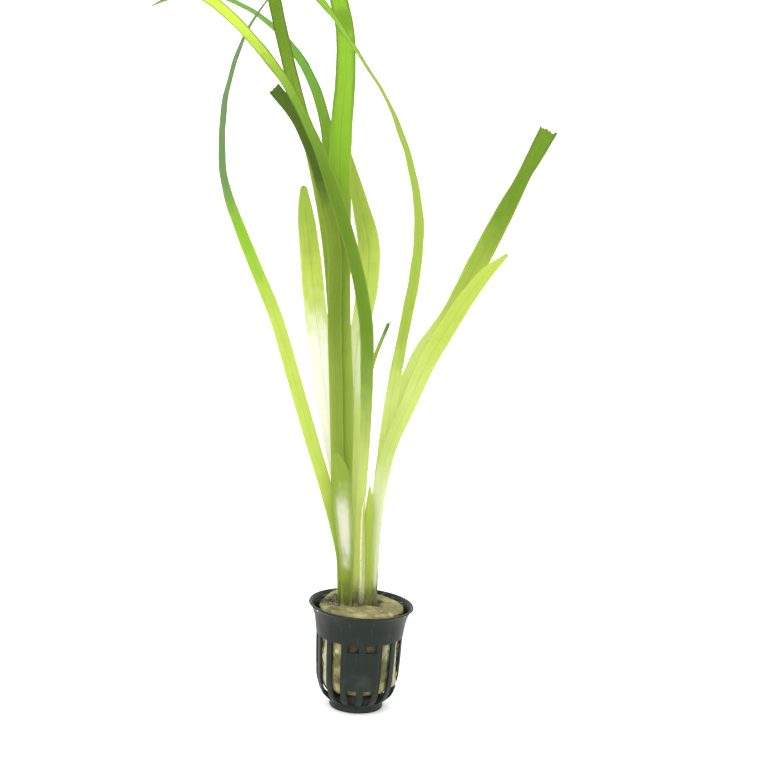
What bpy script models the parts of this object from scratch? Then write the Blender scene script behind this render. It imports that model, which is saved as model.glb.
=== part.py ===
"""A vallisneria in its net pot, at real size.

The plant is two tufts of strap leaves that grow from two short crowns in a plug of rock wool.
The plug stands in a small black net pot. The origin is at the middle of the pot's foot, on the
surface that the pot stands on. +X is to the viewer's right, -Y is towards the viewer, +Z is up.
Sizes and places below are in millimetres.
"""

import math

import bmesh
import bpy
import numpy as np
from mathutils import Matrix, Vector

MM = 0.001

# The net pot: outer profile as (radius, height), from the rim down to the foot
RIM_RADIUS = 25.35
POT_HEIGHT = 51.5
WALL = 1.0
BAND_PROFILE = [
    (RIM_RADIUS, POT_HEIGHT),
    (24.6, 50.2),
    (23.2, 47.6),
    (22.3, 45.0),
    (21.6, 41.0),
    (21.1, 37.6),
]
WINDOW_TOP = (20.95, 36.4)
PLATE_TOP = (20.8, 32.8)
RIB_BREAK = (20.2, 19.9)
PLATE_BOTTOM = (19.5, 13.3)
STUB_TOP = (19.1, 12.0)
WINDOW_BOTTOM = (14.2, 4.2)
BASKET_PROFILE = [
    WINDOW_TOP,
    PLATE_TOP,
    (20.5, 25.0),
    RIB_BREAK,
    PLATE_BOTTOM,
    STUB_TOP,
    (18.5, 10.1),
    (17.3, 7.2),
    (15.5, 5.2),
    WINDOW_BOTTOM,
]
FOOT_RADIUS = 12.95
FOOT_PROFILE = [(12.4, 3.6), (12.0, 3.0), (FOOT_RADIUS, 0.6), (FOOT_RADIUS - 0.2, 0.0)]

# The soft rim leans to the right: at its top a point drops by this share of its way to the right
RIM_LEAN = 0.025
LEAN_FROM = 41.0

# The windows go round the pot; angles are in degrees from the front, positive to the right
WINDOWS = 15
WINDOW_PERIOD = 360.0 / WINDOWS
FIRST_WINDOW = -7.25
WINDOW_ANGLE = 15.0
PLATE_WINDOWS = 2
PLATE_RAISE = 0.5
PLATE_MARGIN = 1.0
BROKEN_RIB = 3
RIM_HOLE_ANGLES = (-56.0, 58.5)
RIM_HOLE_HEIGHT = 50.1
RIM_HOLE_RADIUS = 0.55
RIM_HOLE_MIDDLE = RIM_RADIUS - 1.3
RIM_HOLE_SIDES = 10
RIM_HOLE_DEPTH = 6.0

# The rock wool plug: (radius, height) from below up to the edge of its top
WOOL_PROFILE = [
    (14.0, 9.4),
    (16.0, 10.6),
    (17.4, 13.3),
    (18.2, 16.6),
    (18.7, 25.0),
    (19.1, 35.0),
    (19.5, 44.0),
    (19.8, 49.6),
    (19.3, 51.0),
]
WOOL_TOP = 51.3
WOOL_TOP_RINGS = (0.86, 0.62, 0.34)
WOOL_COLUMNS = 48
WOOL_FRONT_BULGE = 1.6
WOOL_FRONT_ANGLE = 18.0
WOOL_FRONT_SPREAD = 45.0
WOOL_BACK_RISE = 1.9
WOOL_BACK_ANGLE = -152.0
WOOL_BACK_SPREAD = 38.0
BULGE_FROM = 46.0
BULGE_FULL = 50.0
# Lumps that go round the plug: (height, how many, first angle)
WOOL_LUMPS = [(0.12, 5, 0.0), (0.1, 9, 40.0)]

# The crowns sit in wells in the wool, and the leaf bases stand on them
GAP = 0.3
CROWN_TOP = 46.5
CROWN_HEIGHT = 10.0
CROWN_PROFILE = [(0.55, 0.0), (0.86, 1.2), (1.0, 3.6), (1.0, 7.4), (0.94, CROWN_HEIGHT)]
CROWN_SIDES = 20
LEAF_FOOT = CROWN_TOP + GAP
LEFT_CROWN = (-6.3, 3.4, 5.6, 5.6)
RIGHT_CROWN = (3.9, 3.4, 3.5, 2.8)
WELL_MARGIN = 0.7
LEFT_WELL = (-12.6, -0.5, -2.3, 9.1)
RIGHT_WELL = (-2.2, 8.0, -0.4, 7.2)
RIGHT_WELL_DEEPER = 0.4
WELL_CORNER = 2.4
CORNER_STEPS = 3
WELL_HEADROOM = 4.0

# The plant stands a little to the right of the pot's axis
PLANT_MIDDLE = 0.3

# Leaves
LEAF_THICKNESS = 0.8
NARROWEST = 0.6
# A blade reaches its full thickness at this width; below it, it thins to the share given
FULL_WIDTH = 3.0
THINNEST_SHARE = 0.4
FLAT_SHARE = 1.0 / 3.0
LEAF_STEP = 12.5
MOST_STEPS = 27
FEWEST_STEPS = 9

# Each leaf's route from its crown to its tip: (x, y, z, width, turn).
# The turn is the angle in degrees by which the leaf's right edge swings to the front.
LEAF_ROUTES = {
    "front_arching_leaf": [
        (-4.4, -0.05, LEAF_FOOT, 4.6, 0), (-3.9, -0.4, 75, 4.6, 0), (-3.2, -1.1, 103, 4.6, 0),
        (-2.8, -2.2, 133, 5.0, 0), (-3.5, -3.2, 162, 6.0, 0), (-5.0, -4.2, 187, 6.6, 10),
        (-11.8, -6.5, 218, 6.8, 22), (-22.4, -11, 249, 7.0, 26), (-32.5, -16, 274, 6.8, 42),
        (-48, -22, 302, 6.6, 43), (-62, -26.5, 319, 6.6, 38), (-81, -30, 336, 6.6, 34),
        (-100, -34, 345, 6.4, 33), (-120, -38, 348, 5.2, 33), (-140, -42, 343, 1.0, 33),
    ],
    "cut_dark_leaf": [
        (-9.2, 2.25, LEAF_FOOT, 4.6, 0), (-11.4, 2.1, 78, 5.2, 0), (-14.4, 1.7, 108, 6.0, 0),
        (-17.4, 1.1, 149, 6.4, 0), (-20.2, 0.6, 189, 6.6, 0), (-22.5, -0.6, 226, 6.6, 0),
        (-28.2, -2.5, 250, 6.4, 8), (-34.8, -4.0, 269, 6.2, 12), (-42.4, -5.5, 284, 6.4, 15),
        (-53.0, -7.0, 296.4, 6.6, 15),
    ],
    "upright_leaf": [
        (-8.7, 4.55, LEAF_FOOT, 4.8, 0), (-11.2, 4.5, 78, 5.4, 0), (-14.0, 4.6, 110, 5.8, 0),
        (-17.0, 5.0, 150, 6.2, 0), (-21.2, 5.8, 197, 6.4, 0), (-25.6, 6.5, 228, 6.4, 0),
        (-31.2, 7.5, 253, 6.4, 0), (-36.8, 8.0, 273, 6.2, 5), (-43.4, 8.5, 293, 6.2, 8),
        (-50.0, 8.5, 315, 6.2, 8), (-55.5, 8.2, 336, 6.2, 6), (-60.2, 7.0, 360, 5.6, 0),
        (-62.8, 5.5, 379, 4.2, -8), (-64.4, 4.0, 396, 0.9, -14),
    ],
    "back_arching_leaf": [
        (-7.6, 5.7, LEAF_FOOT, 4.6, 0), (-10.4, 5.8, 78, 5.2, 0), (-13.2, 6.2, 115, 5.8, 0),
        (-15.6, 7.0, 150, 6.4, 0), (-17.7, 8.3, 185, 6.6, 0), (-20.6, 10.2, 222, 6.6, 0),
        (-26.0, 13.5, 262, 6.4, 12), (-31.9, 18.0, 287.2, 6.2, 31), (-41.8, 24.0, 306.4, 6.2, 44),
        (-55.7, 30.0, 321, 6.2, 56), (-67.6, 34.0, 328.7, 6.0, 62), (-80, 37.5, 333.4, 5.8, 62),
        (-93, 41, 334.7, 5.2, 60), (-105, 44.5, 332.4, 4.0, 58), (-116, 47, 327, 0.9, 54),
    ],
    "broad_upright_leaf": [
        (-6.9, 3.4, LEAF_FOOT, 6.4, 0), (-9.3, 3.3, 78, 7.4, 0), (-12.4, 3.1, 110, 9.2, 0),
        (-14.4, 2.9, 146, 10.8, 0), (-18.2, 2.7, 192, 10.8, 0), (-20.6, 2.5, 240, 11.0, 0),
        (-21.6, 2.3, 278, 10.2, 0), (-21.0, 2.1, 306, 9.2, 0), (-22.4, 1.8, 325, 8.6, 5),
        (-26.0, 1.5, 338.5, 8.2, 10), (-31.0, 1.0, 355, 7.8, 14), (-37.6, 0.0, 372, 7.0, 18),
        (-45.0, -1.5, 388, 5.0, 20), (-51.8, -3.0, 400, 0.9, 20),
    ],
    "looping_leaf": [
        (3.3, 3.4, LEAF_FOOT, 4.8, 0), (3.7, 3.4, 80, 5.0, 0), (4.9, 3.3, 106, 5.6, 0),
        (6.8, 2.8, 131, 6.2, 4), (9.1, 0.6, 157, 6.6, 24), (12.3, -4.8, 184, 6.6, 37),
        (16.0, -11.0, 213, 6.6, 41), (17.0, -16.0, 232, 6.6, 44), (15.5, -20.6, 249, 6.6, 50),
        (8.6, -26.0, 274.8, 6.4, 62), (-0.1, -29.2, 294.6, 6.2, 70), (-9.3, -30.2, 308.6, 6.2, 73),
        (-19.6, -29.6, 322.5, 6.2, 68), (-33.0, -28.0, 339, 6.4, 57), (-47.0, -26.0, 350, 6.2, 46),
        (-63.0, -23.5, 356, 5.4, 43), (-80.0, -21.5, 357, 0.9, 42),
    ],
    "far_left_leaf": [
        (-9.5, 1.1, LEAF_FOOT, 4.2, 0), (-11.3, 1.1, 74, 4.8, 0), (-14.6, 0.9, 88, 5.4, 0),
        (-19.6, 0.7, 105.5, 6.2, 0), (-28.0, 4.2, 129, 6.6, 0), (-37.8, 9.5, 156.5, 6.6, 0),
        (-47.7, 14.0, 184.5, 6.6, 8), (-64.6, 18.0, 220.9, 6.6, 26), (-75.6, 19.2, 248.9, 6.4, 46),
        (-77.8, 18.8, 271, 6.2, 55), (-76.3, 17.8, 291, 6.0, 62), (-71.4, 16.5, 311, 6.0, 70),
        (-63.5, 14.8, 328.4, 6.0, 78), (-53.4, 13.8, 341.5, 6.0, 81), (-42.3, 14.2, 350.5, 5.6, 82),
        (-31.0, 15.0, 354, 4.4, 80), (-20.0, 15.8, 354.5, 0.9, 78),
    ],
    "short_blunt_leaf": [
        (-7.0, 8.0, LEAF_FOOT, 4.6, 0), (-9.3, 8.6, 78, 5.2, 0), (-14.6, 9.8, 108, 6.6, 0),
        (-20.0, 11.0, 135, 8.8, 0), (-25.0, 12.2, 163, 10.0, 0), (-29.8, 14.2, 191, 10.6, 0),
        (-34.0, 17.8, 219, 9.6, 0), (-37.2, 21.2, 238, 7.0, 0), (-38.6, 23.0, 248.5, 3.0, 0),
    ],
    "pale_broad_leaf": [
        (-6.6, 6.85, LEAF_FOOT, 5.2, 0), (-7.2, 7.2, 78, 5.6, 0), (-8.2, 8.1, 112, 6.6, 0),
        (-9.1, 9.1, 147, 7.2, 0), (-9.0, 10.2, 176, 8.0, 0), (-5.8, 11.7, 204, 10.4, 0),
        (-6.4, 13.3, 225, 10.4, 0), (-11.4, 15.0, 243, 7.6, 0), (-18.2, 17.2, 268, 1.2, 0),
    ],
    "broken_leaf_stalk": [
        (-3.6, 4.55, LEAF_FOOT, 2.0, 0), (-3.5, 4.6, 78, 2.0, 0), (-3.6, 5.2, 112, 2.0, 0),
        (-3.0, 7.0, 148, 2.0, 0), (-1.1, 8.6, 167.2, 2.0, 0), (5.3, 11.0, 186.8, 1.8, 0),
    ],
    "cut_right_leaf": [
        (4.1, 4.55, LEAF_FOOT, 5.0, 0), (4.3, 4.7, 76, 5.2, 0), (5.8, 5.4, 104, 6.0, 0),
        (8.6, 6.8, 127, 6.8, 0), (13.2, 9.2, 149, 7.6, 0), (21.6, 12.8, 172, 8.6, 0),
        (33.6, 16.2, 190, 9.4, 0), (46.6, 19.8, 218, 9.8, 0), (57.6, 22.4, 242, 9.2, -12),
        (64.4, 23.6, 257, 8.4, -30), (69.8, 24.4, 268.5, 8.6, -22), (75.4, 25.0, 280.6, 9.4, -16),
    ],
    "pointed_right_leaf": [
        (3.7, 2.25, LEAF_FOOT, 5.0, 0), (3.8, 2.2, 74, 5.2, 0), (4.3, 1.6, 97, 5.6, 0),
        (6.6, -0.5, 118, 6.2, 0), (11.0, -2.4, 136, 7.0, 0), (16.6, -4.0, 151, 7.6, 0),
        (24.0, -7.0, 172, 8.4, 0), (32.6, -10.8, 190, 8.4, 0), (41.6, -14.8, 207, 7.4, 0),
        (50.0, -18.0, 219.5, 5.4, 0), (58.0, -20.2, 228, 1.6, 0),
    ],
    "short_front_leaf": [
        (-7.4, -1.2, LEAF_FOOT, 5.2, 0), (-8.2, -1.5, 66, 5.8, 0), (-9.6, -2.2, 82, 7.4, 0),
        (-11.9, -3.3, 102, 9.4, 0), (-13.6, -4.0, 115, 8.8, 0), (-15.2, -4.4, 123, 5.0, 0),
        (-15.9, -4.6, 126, 1.4, 0),
    ],
    "olive_leaf_tip": [
        (2.9, 1.1, LEAF_FOOT, 3.6, 0), (2.3, 0.8, 68, 3.6, 0), (1.5, 0.1, 86, 3.9, 0),
        (1.1, -0.9, 101, 3.6, 0), (0.7, -1.3, 110, 0.9, 0),
    ],
    "pale_middle_sheath": [
        (-0.35, 2.6, LEAF_FOOT, 2.6, 0), (-0.3, 2.7, 66, 3.2, 0), (-0.2, 2.9, 86, 3.2, 0),
        (0.0, 3.0, 103, 0.9, 0),
    ],
    "yellow_side_sheath": [
        (5.3, 5.7, LEAF_FOOT, 3.2, 0), (5.3, 5.9, 62, 3.6, 0), (5.4, 6.6, 80, 3.4, 0),
        (5.7, 7.4, 97, 0.9, 0),
    ],
}

# The dried strand hangs down the front of the stems and ends on the wool
STRAND_ROUTE = [
    (-0.9, -3.2, 53.0, 0.9, 0), (-1.4, -3.2, 66, 0.9, 0), (-2.1, -3.4, 87, 1.0, 0),
    (-2.0, -3.8, 101, 1.0, 0), (-1.2, -4.0, 105.6, 0.7, 0),
]
STRAND_THICKNESS = 0.5

# Colours as seen, red, green and blue from 0 to 255
POT_BLACK = (48, 56, 52)
WOOL_TAN = (150, 142, 100)
CROWN_CREAM = (214, 214, 160)
STRAND_BROWN = (150, 120, 66)
LEAF_COLOURS = {
    "front_arching_leaf": (150, 190, 62),
    "cut_dark_leaf": (92, 117, 49),
    "upright_leaf": (120, 151, 56),
    "back_arching_leaf": (133, 180, 67),
    "broad_upright_leaf": (153, 203, 54),
    "looping_leaf": (170, 199, 89),
    "far_left_leaf": (167, 206, 72),
    "short_blunt_leaf": (168, 193, 69),
    "pale_broad_leaf": (205, 224, 117),
    "broken_leaf_stalk": (150, 185, 80),
    "cut_right_leaf": (140, 178, 70),
    "pointed_right_leaf": (190, 216, 92),
    "short_front_leaf": (150, 180, 80),
    "olive_leaf_tip": (150, 160, 66),
    "pale_middle_sheath": (222, 228, 170),
    "yellow_side_sheath": (226, 228, 130),
}
PLASTIC_ROUGHNESS = 0.45
WOOL_ROUGHNESS = 0.95
LEAF_ROUGHNESS = 0.4
SHARP_EDGE = 40.0


def clear_scene():
    """Remove whatever is in the scene."""
    for old in list(bpy.data.objects):
        bpy.data.objects.remove(old, do_unlink=True)


def linear(colour):
    """Turn a colour as seen into the shader's linear values."""
    return tuple((part / 255.0) ** 2.2 for part in colour) + (1.0,)


def make_material(name, colour, roughness):
    """Make a plain material with one colour."""
    material = bpy.data.materials.new(name + "_finish")
    material.use_nodes = True
    shader = material.node_tree.nodes["Principled BSDF"]
    shader.inputs["Base Color"].default_value = linear(colour)
    shader.inputs["Roughness"].default_value = roughness
    material.diffuse_color = linear(colour)
    return material


def make_object(name, shape, colour, roughness, closed=True):
    """Make a named object from a bmesh whose points are in millimetres."""
    bmesh.ops.scale(shape, vec=(MM, MM, MM), verts=shape.verts)
    if closed:
        bmesh.ops.recalc_face_normals(shape, faces=shape.faces)
    mesh = bpy.data.meshes.new(name)
    shape.to_mesh(mesh)
    shape.free()
    mesh.materials.append(make_material(name, colour, roughness))
    mesh.shade_smooth()
    mesh.set_sharp_from_angle(angle=math.radians(SHARP_EDGE))
    made = bpy.data.objects.new(name, mesh)
    bpy.context.scene.collection.objects.link(made)
    return made


def on_circle(radius, degrees, height):
    """A point at an angle from the front, positive to the right."""
    angle = math.radians(degrees)
    return Vector((radius * math.sin(angle), -radius * math.cos(angle), height))


def lean(point):
    """Lower a point of the rim by its share of the rim's lean, and return it."""
    share = max(0.0, (point.z - LEAN_FROM) / (POT_HEIGHT - LEAN_FROM))
    point.z -= RIM_LEAN * share * point.x
    return point


def make_cutter(name, shape):
    """Make a shape that only cuts others."""
    cutter = make_object(name, shape, WOOL_TAN, 1.0)
    cutter.hide_render = True
    cutter.display_type = "WIRE"
    return cutter


def cut(target, cutter):
    """Take a cutter's shape out of an object."""
    modifier = target.modifiers.new("cut " + cutter.name, "BOOLEAN")
    modifier.operation = "DIFFERENCE"
    modifier.solver = "EXACT"
    modifier.object = cutter


def pot_columns():
    """The angles of the pot's columns, and for each the kind of strip that follows it."""
    columns = []
    rib = WINDOW_PERIOD - WINDOW_ANGLE
    for index in range(WINDOWS):
        middle = FIRST_WINDOW + index * WINDOW_PERIOD
        columns.append((middle - WINDOW_ANGLE / 2, "window", index))
        columns.append((middle, "window", index))
        columns.append((middle + WINDOW_ANGLE / 2, "rib", index))
        columns.append((middle + WINDOW_ANGLE / 2 + rib / 2, "rib", index))
    return columns


def plate_angles():
    """The first and last angle of the blank plate, both at the middle of a rib."""
    half_period = WINDOW_PERIOD / 2
    return FIRST_WINDOW - half_period, FIRST_WINDOW + (PLATE_WINDOWS - 1) * WINDOW_PERIOD + half_period


def is_open(kind, index, top, bottom):
    """Say whether the wall between two heights is left out."""
    in_windows = top <= WINDOW_TOP[1] and bottom >= WINDOW_BOTTOM[1]
    if kind == "rib":
        return index == BROKEN_RIB and top <= RIB_BREAK[1] and bottom >= STUB_TOP[1]
    on_plate = index < PLATE_WINDOWS and top <= PLATE_TOP[1] and bottom >= PLATE_BOTTOM[1]
    return in_windows and not on_plate


def make_net_pot():
    """Make the pot: a turned wall with windows, a raised blank plate and a foot."""
    profile = BAND_PROFILE + BASKET_PROFILE + FOOT_PROFILE
    columns = pot_columns()
    plate_start, plate_end = plate_angles()
    shape = bmesh.new()
    rows = []
    for radius, height in profile:
        row = []
        for degrees, _kind, _index in columns:
            across_plate = plate_start + PLATE_MARGIN < degrees < plate_end - PLATE_MARGIN
            up_plate = PLATE_BOTTOM[1] <= height <= PLATE_TOP[1]
            raised = PLATE_RAISE if across_plate and up_plate else 0.0
            row.append(shape.verts.new(lean(on_circle(radius + raised, degrees, height))))
        rows.append(row)
    for upper, lower, above, below in zip(rows, rows[1:], profile, profile[1:]):
        for number, (_degrees, kind, index) in enumerate(columns):
            if is_open(kind, index, above[1], below[1]):
                continue
            after = (number + 1) % len(columns)
            shape.faces.new((upper[number], lower[number], lower[after], upper[after]))
    centre = shape.verts.new((0.0, 0.0, 0.0))
    for number, corner in enumerate(rows[-1]):
        shape.faces.new((corner, centre, rows[-1][(number + 1) % len(columns)]))
    loose = [corner for corner in shape.verts if not corner.link_faces]
    bmesh.ops.delete(shape, geom=loose, context="VERTS")
    pot = make_object("net_pot", shape, POT_BLACK, PLASTIC_ROUGHNESS, closed=False)
    wall = pot.modifiers.new("wall", "SOLIDIFY")
    wall.thickness = WALL * MM
    wall.offset = -1.0
    wall.use_even_offset = True
    for number, degrees in enumerate(RIM_HOLE_ANGLES):
        cut(pot, make_rim_hole("rim_hole_%d" % (number + 1), degrees))
    return pot


def make_rim_hole(name, degrees):
    """Make the cutter of one small hole through the flared rim."""
    shape = bmesh.new()
    bmesh.ops.create_cone(
        shape, cap_ends=True, segments=RIM_HOLE_SIDES, radius1=RIM_HOLE_RADIUS,
        radius2=RIM_HOLE_RADIUS, depth=RIM_HOLE_DEPTH)
    lie_outwards = Matrix.Rotation(math.radians(degrees), 4, "Z") @ Matrix.Rotation(math.pi / 2, 4, "X")
    place = Matrix.Translation(lean(on_circle(RIM_HOLE_MIDDLE, degrees, RIM_HOLE_HEIGHT)))
    bmesh.ops.transform(shape, matrix=place @ lie_outwards, verts=shape.verts)
    return make_cutter(name, shape)


def hump(degrees, middle, spread):
    """A smooth hump from 0 to 1 around an angle."""
    away = (degrees - middle + 180.0) % 360.0 - 180.0
    return math.exp(-(away / spread) ** 2)


def make_wool_plug():
    """Make the rock wool plug, a lumpy cylinder with two wells for the crowns."""
    shape = bmesh.new()
    rows = []
    top_edge = WOOL_PROFILE[-1][0]
    profile = WOOL_PROFILE + [(top_edge * share, WOOL_TOP) for share in WOOL_TOP_RINGS]
    for radius, height in profile:
        lift = max(0.0, min(1.0, (height - BULGE_FROM) / (BULGE_FULL - BULGE_FROM)))
        row = []
        for number in range(WOOL_COLUMNS):
            degrees = 360.0 * number / WOOL_COLUMNS
            share = radius / top_edge
            lump = sum(high * math.sin(math.radians(count * degrees + first))
                       for high, count, first in WOOL_LUMPS)
            bulge = WOOL_FRONT_BULGE * lift * hump(degrees, WOOL_FRONT_ANGLE, WOOL_FRONT_SPREAD)
            out = (bulge + lump) * share
            rise = WOOL_BACK_RISE * lift * hump(degrees, WOOL_BACK_ANGLE, WOOL_BACK_SPREAD) * share ** 2
            row.append(shape.verts.new(on_circle(radius + out, degrees, height + rise)))
        rows.append(row)
    for lower, upper in zip(rows, rows[1:]):
        for number in range(WOOL_COLUMNS):
            after = (number + 1) % WOOL_COLUMNS
            shape.faces.new((lower[number], lower[after], upper[after], upper[number]))
    for row, height in ((rows[0], WOOL_PROFILE[0][1]), (rows[-1], WOOL_TOP)):
        middle = shape.verts.new((0.0, 0.0, height))
        for number in range(WOOL_COLUMNS):
            shape.faces.new((row[number], row[(number + 1) % WOOL_COLUMNS], middle))
    plug = make_object("rock_wool_plug", shape, WOOL_TAN, WOOL_ROUGHNESS)
    cut(plug, make_well("left_well", LEFT_WELL, 0.0))
    cut(plug, make_well("right_well", RIGHT_WELL, RIGHT_WELL_DEEPER))
    return plug


def make_well(name, sides, deeper):
    """Make the cutter of a round-cornered well, from below a crown to above the wool."""
    left, right, front, back = sides
    bottom = CROWN_TOP - CROWN_HEIGHT - WELL_MARGIN - deeper
    top = WOOL_TOP + WOOL_BACK_RISE + WELL_HEADROOM
    centres = [
        (right - WELL_CORNER, front + WELL_CORNER, -90.0),
        (right - WELL_CORNER, back - WELL_CORNER, 0.0),
        (left + WELL_CORNER, back - WELL_CORNER, 90.0),
        (left + WELL_CORNER, front + WELL_CORNER, 180.0),
    ]
    outline = []
    for x, y, start in centres:
        for step in range(CORNER_STEPS + 1):
            angle = math.radians(start + 90.0 * step / CORNER_STEPS)
            across = x + PLANT_MIDDLE + WELL_CORNER * math.cos(angle)
            outline.append((across, y + WELL_CORNER * math.sin(angle)))
    shape = bmesh.new()
    floor = shape.faces.new([shape.verts.new((x, y, bottom)) for x, y in outline])
    raised = bmesh.ops.extrude_face_region(shape, geom=[floor])
    corners = [item for item in raised["geom"] if isinstance(item, bmesh.types.BMVert)]
    bmesh.ops.translate(shape, vec=(0.0, 0.0, top - bottom), verts=corners)
    return make_cutter(name, shape)


def make_crown(name, place):
    """Make one crown: a short rounded rootstock with a flat top for the leaf bases."""
    x, y, half_wide, half_deep = place
    bottom = CROWN_TOP - CROWN_HEIGHT
    shape = bmesh.new()
    rows = []
    for share, rise in CROWN_PROFILE:
        ring = []
        for number in range(CROWN_SIDES):
            angle = 2.0 * math.pi * number / CROWN_SIDES
            across = x + PLANT_MIDDLE + half_wide * share * math.cos(angle)
            deep = y + half_deep * share * math.sin(angle)
            ring.append(shape.verts.new((across, deep, bottom + rise)))
        rows.append(ring)
    for lower, upper in zip(rows, rows[1:]):
        for number in range(CROWN_SIDES):
            after = (number + 1) % CROWN_SIDES
            shape.faces.new((lower[number], lower[after], upper[after], upper[number]))
    shape.faces.new(rows[0])
    shape.faces.new(rows[-1])
    return make_object(name, shape, CROWN_CREAM, WOOL_ROUGHNESS)


def smooth_route(route, steps):
    """Read even steps from the smooth curve through a leaf's route points."""
    points = np.array(route, dtype=float)
    points[:, 0] += PLANT_MIDDLE
    lengths = np.linalg.norm(np.diff(points[:, :3], axis=0), axis=1)
    along = np.concatenate(([0.0], np.cumsum(lengths)))
    slopes = np.gradient(points, along, axis=0)
    rows = []
    for distance in np.linspace(0.0, along[-1], steps + 1):
        first = min(int(np.searchsorted(along, distance, side="right")) - 1, len(along) - 2)
        span = along[first + 1] - along[first]
        t = (distance - along[first]) / span
        start = (2 * t ** 3 - 3 * t ** 2 + 1) * points[first]
        start_slope = (t ** 3 - 2 * t ** 2 + t) * span * slopes[first]
        end = (3 * t ** 2 - 2 * t ** 3) * points[first + 1]
        end_slope = (t ** 3 - t ** 2) * span * slopes[first + 1]
        rows.append(start + start_slope + end + end_slope)
    return np.array(rows), float(along[-1])


def ribbon_shape(route, thickness):
    """Make a closed leaf blade along its route: a flat hexagon in section, thin at both edges."""
    _rows, length = smooth_route(route, 1)
    steps = max(FEWEST_STEPS, min(MOST_STEPS, round(length / LEAF_STEP)))
    rows, length = smooth_route(route, steps)
    forward = np.gradient(rows[:, :3], axis=0)
    shape = bmesh.new()
    rings = []
    for row, ahead in zip(rows, forward):
        middle = Vector(row[:3])
        width = max(row[3], NARROWEST)
        turn = math.radians(row[4])
        along = Vector(ahead).normalized()
        front = Vector((0.0, -1.0, 0.0))
        front = (front - along * front.dot(along)).normalized()
        right = along.cross(front)
        across = right * math.cos(turn) + front * math.sin(turn)
        out = front * math.cos(turn) - right * math.sin(turn)
        deep = thickness / 2 * min(1.0, THINNEST_SHARE + (1.0 - THINNEST_SHARE) * width / FULL_WIDTH)
        edge, flat = width / 2, width / 2 * FLAT_SHARE
        section = [(-edge, 0.0), (-flat, deep), (flat, deep), (edge, 0.0), (flat, -deep), (-flat, -deep)]
        rings.append([shape.verts.new(middle + across * a + out * b) for a, b in section])
    for lower, upper in zip(rings, rings[1:]):
        for number in range(len(lower)):
            after = (number + 1) % len(lower)
            shape.faces.new((lower[number], lower[after], upper[after], upper[number]))
    shape.faces.new(rings[0])
    shape.faces.new(rings[-1])
    return shape


def make_leaves():
    """Make every leaf, and the dried strand in front of them."""
    for name, route in LEAF_ROUTES.items():
        make_object(name, ribbon_shape(route, LEAF_THICKNESS), LEAF_COLOURS[name], LEAF_ROUGHNESS)
    strand = ribbon_shape(STRAND_ROUTE, STRAND_THICKNESS)
    make_object("dried_strand", strand, STRAND_BROWN, WOOL_ROUGHNESS)


def main():
    clear_scene()
    make_net_pot()
    make_wool_plug()
    make_crown("left_crown", LEFT_CROWN)
    make_crown("right_crown", RIGHT_CROWN)
    make_leaves()


main()
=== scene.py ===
"""Looks for a potted vallisneria: strap leaves, rock wool and a small black net pot.

Sizes in the tables below are in millimetres; the settings in the sidebar are in metres.
+X is to the viewer's right, -Y is towards the viewer, +Z is up.
"""

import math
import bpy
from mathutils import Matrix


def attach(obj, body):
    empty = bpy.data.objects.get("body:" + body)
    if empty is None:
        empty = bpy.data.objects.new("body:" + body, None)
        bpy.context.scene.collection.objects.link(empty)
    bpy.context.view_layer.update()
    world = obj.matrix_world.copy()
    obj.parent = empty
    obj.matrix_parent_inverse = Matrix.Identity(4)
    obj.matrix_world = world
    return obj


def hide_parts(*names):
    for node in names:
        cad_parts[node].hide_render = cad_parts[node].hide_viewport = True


bl_info = {
    "name": "Potted Vallisneria",
    "version": (1, 0, 0),
    "blender": (4, 5, 0),
    "location": "3D View > Sidebar > Vallisneria",
    "description": "Grows the leaves, packs the rock wool and moulds the net pot",
    "category": "Object",
}

from typing import NamedTuple

import bmesh
import bpy
import numpy as np
from bpy.props import FloatProperty, FloatVectorProperty, IntProperty, PointerProperty
from mathutils import Matrix, Vector, noise

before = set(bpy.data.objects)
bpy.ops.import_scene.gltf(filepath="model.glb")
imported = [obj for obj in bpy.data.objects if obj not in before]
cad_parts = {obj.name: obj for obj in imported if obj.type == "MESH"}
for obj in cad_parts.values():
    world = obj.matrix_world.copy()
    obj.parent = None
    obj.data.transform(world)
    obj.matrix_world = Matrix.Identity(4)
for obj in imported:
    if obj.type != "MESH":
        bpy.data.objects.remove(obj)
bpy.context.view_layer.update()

MM = 0.001
BODY = "root"

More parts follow.
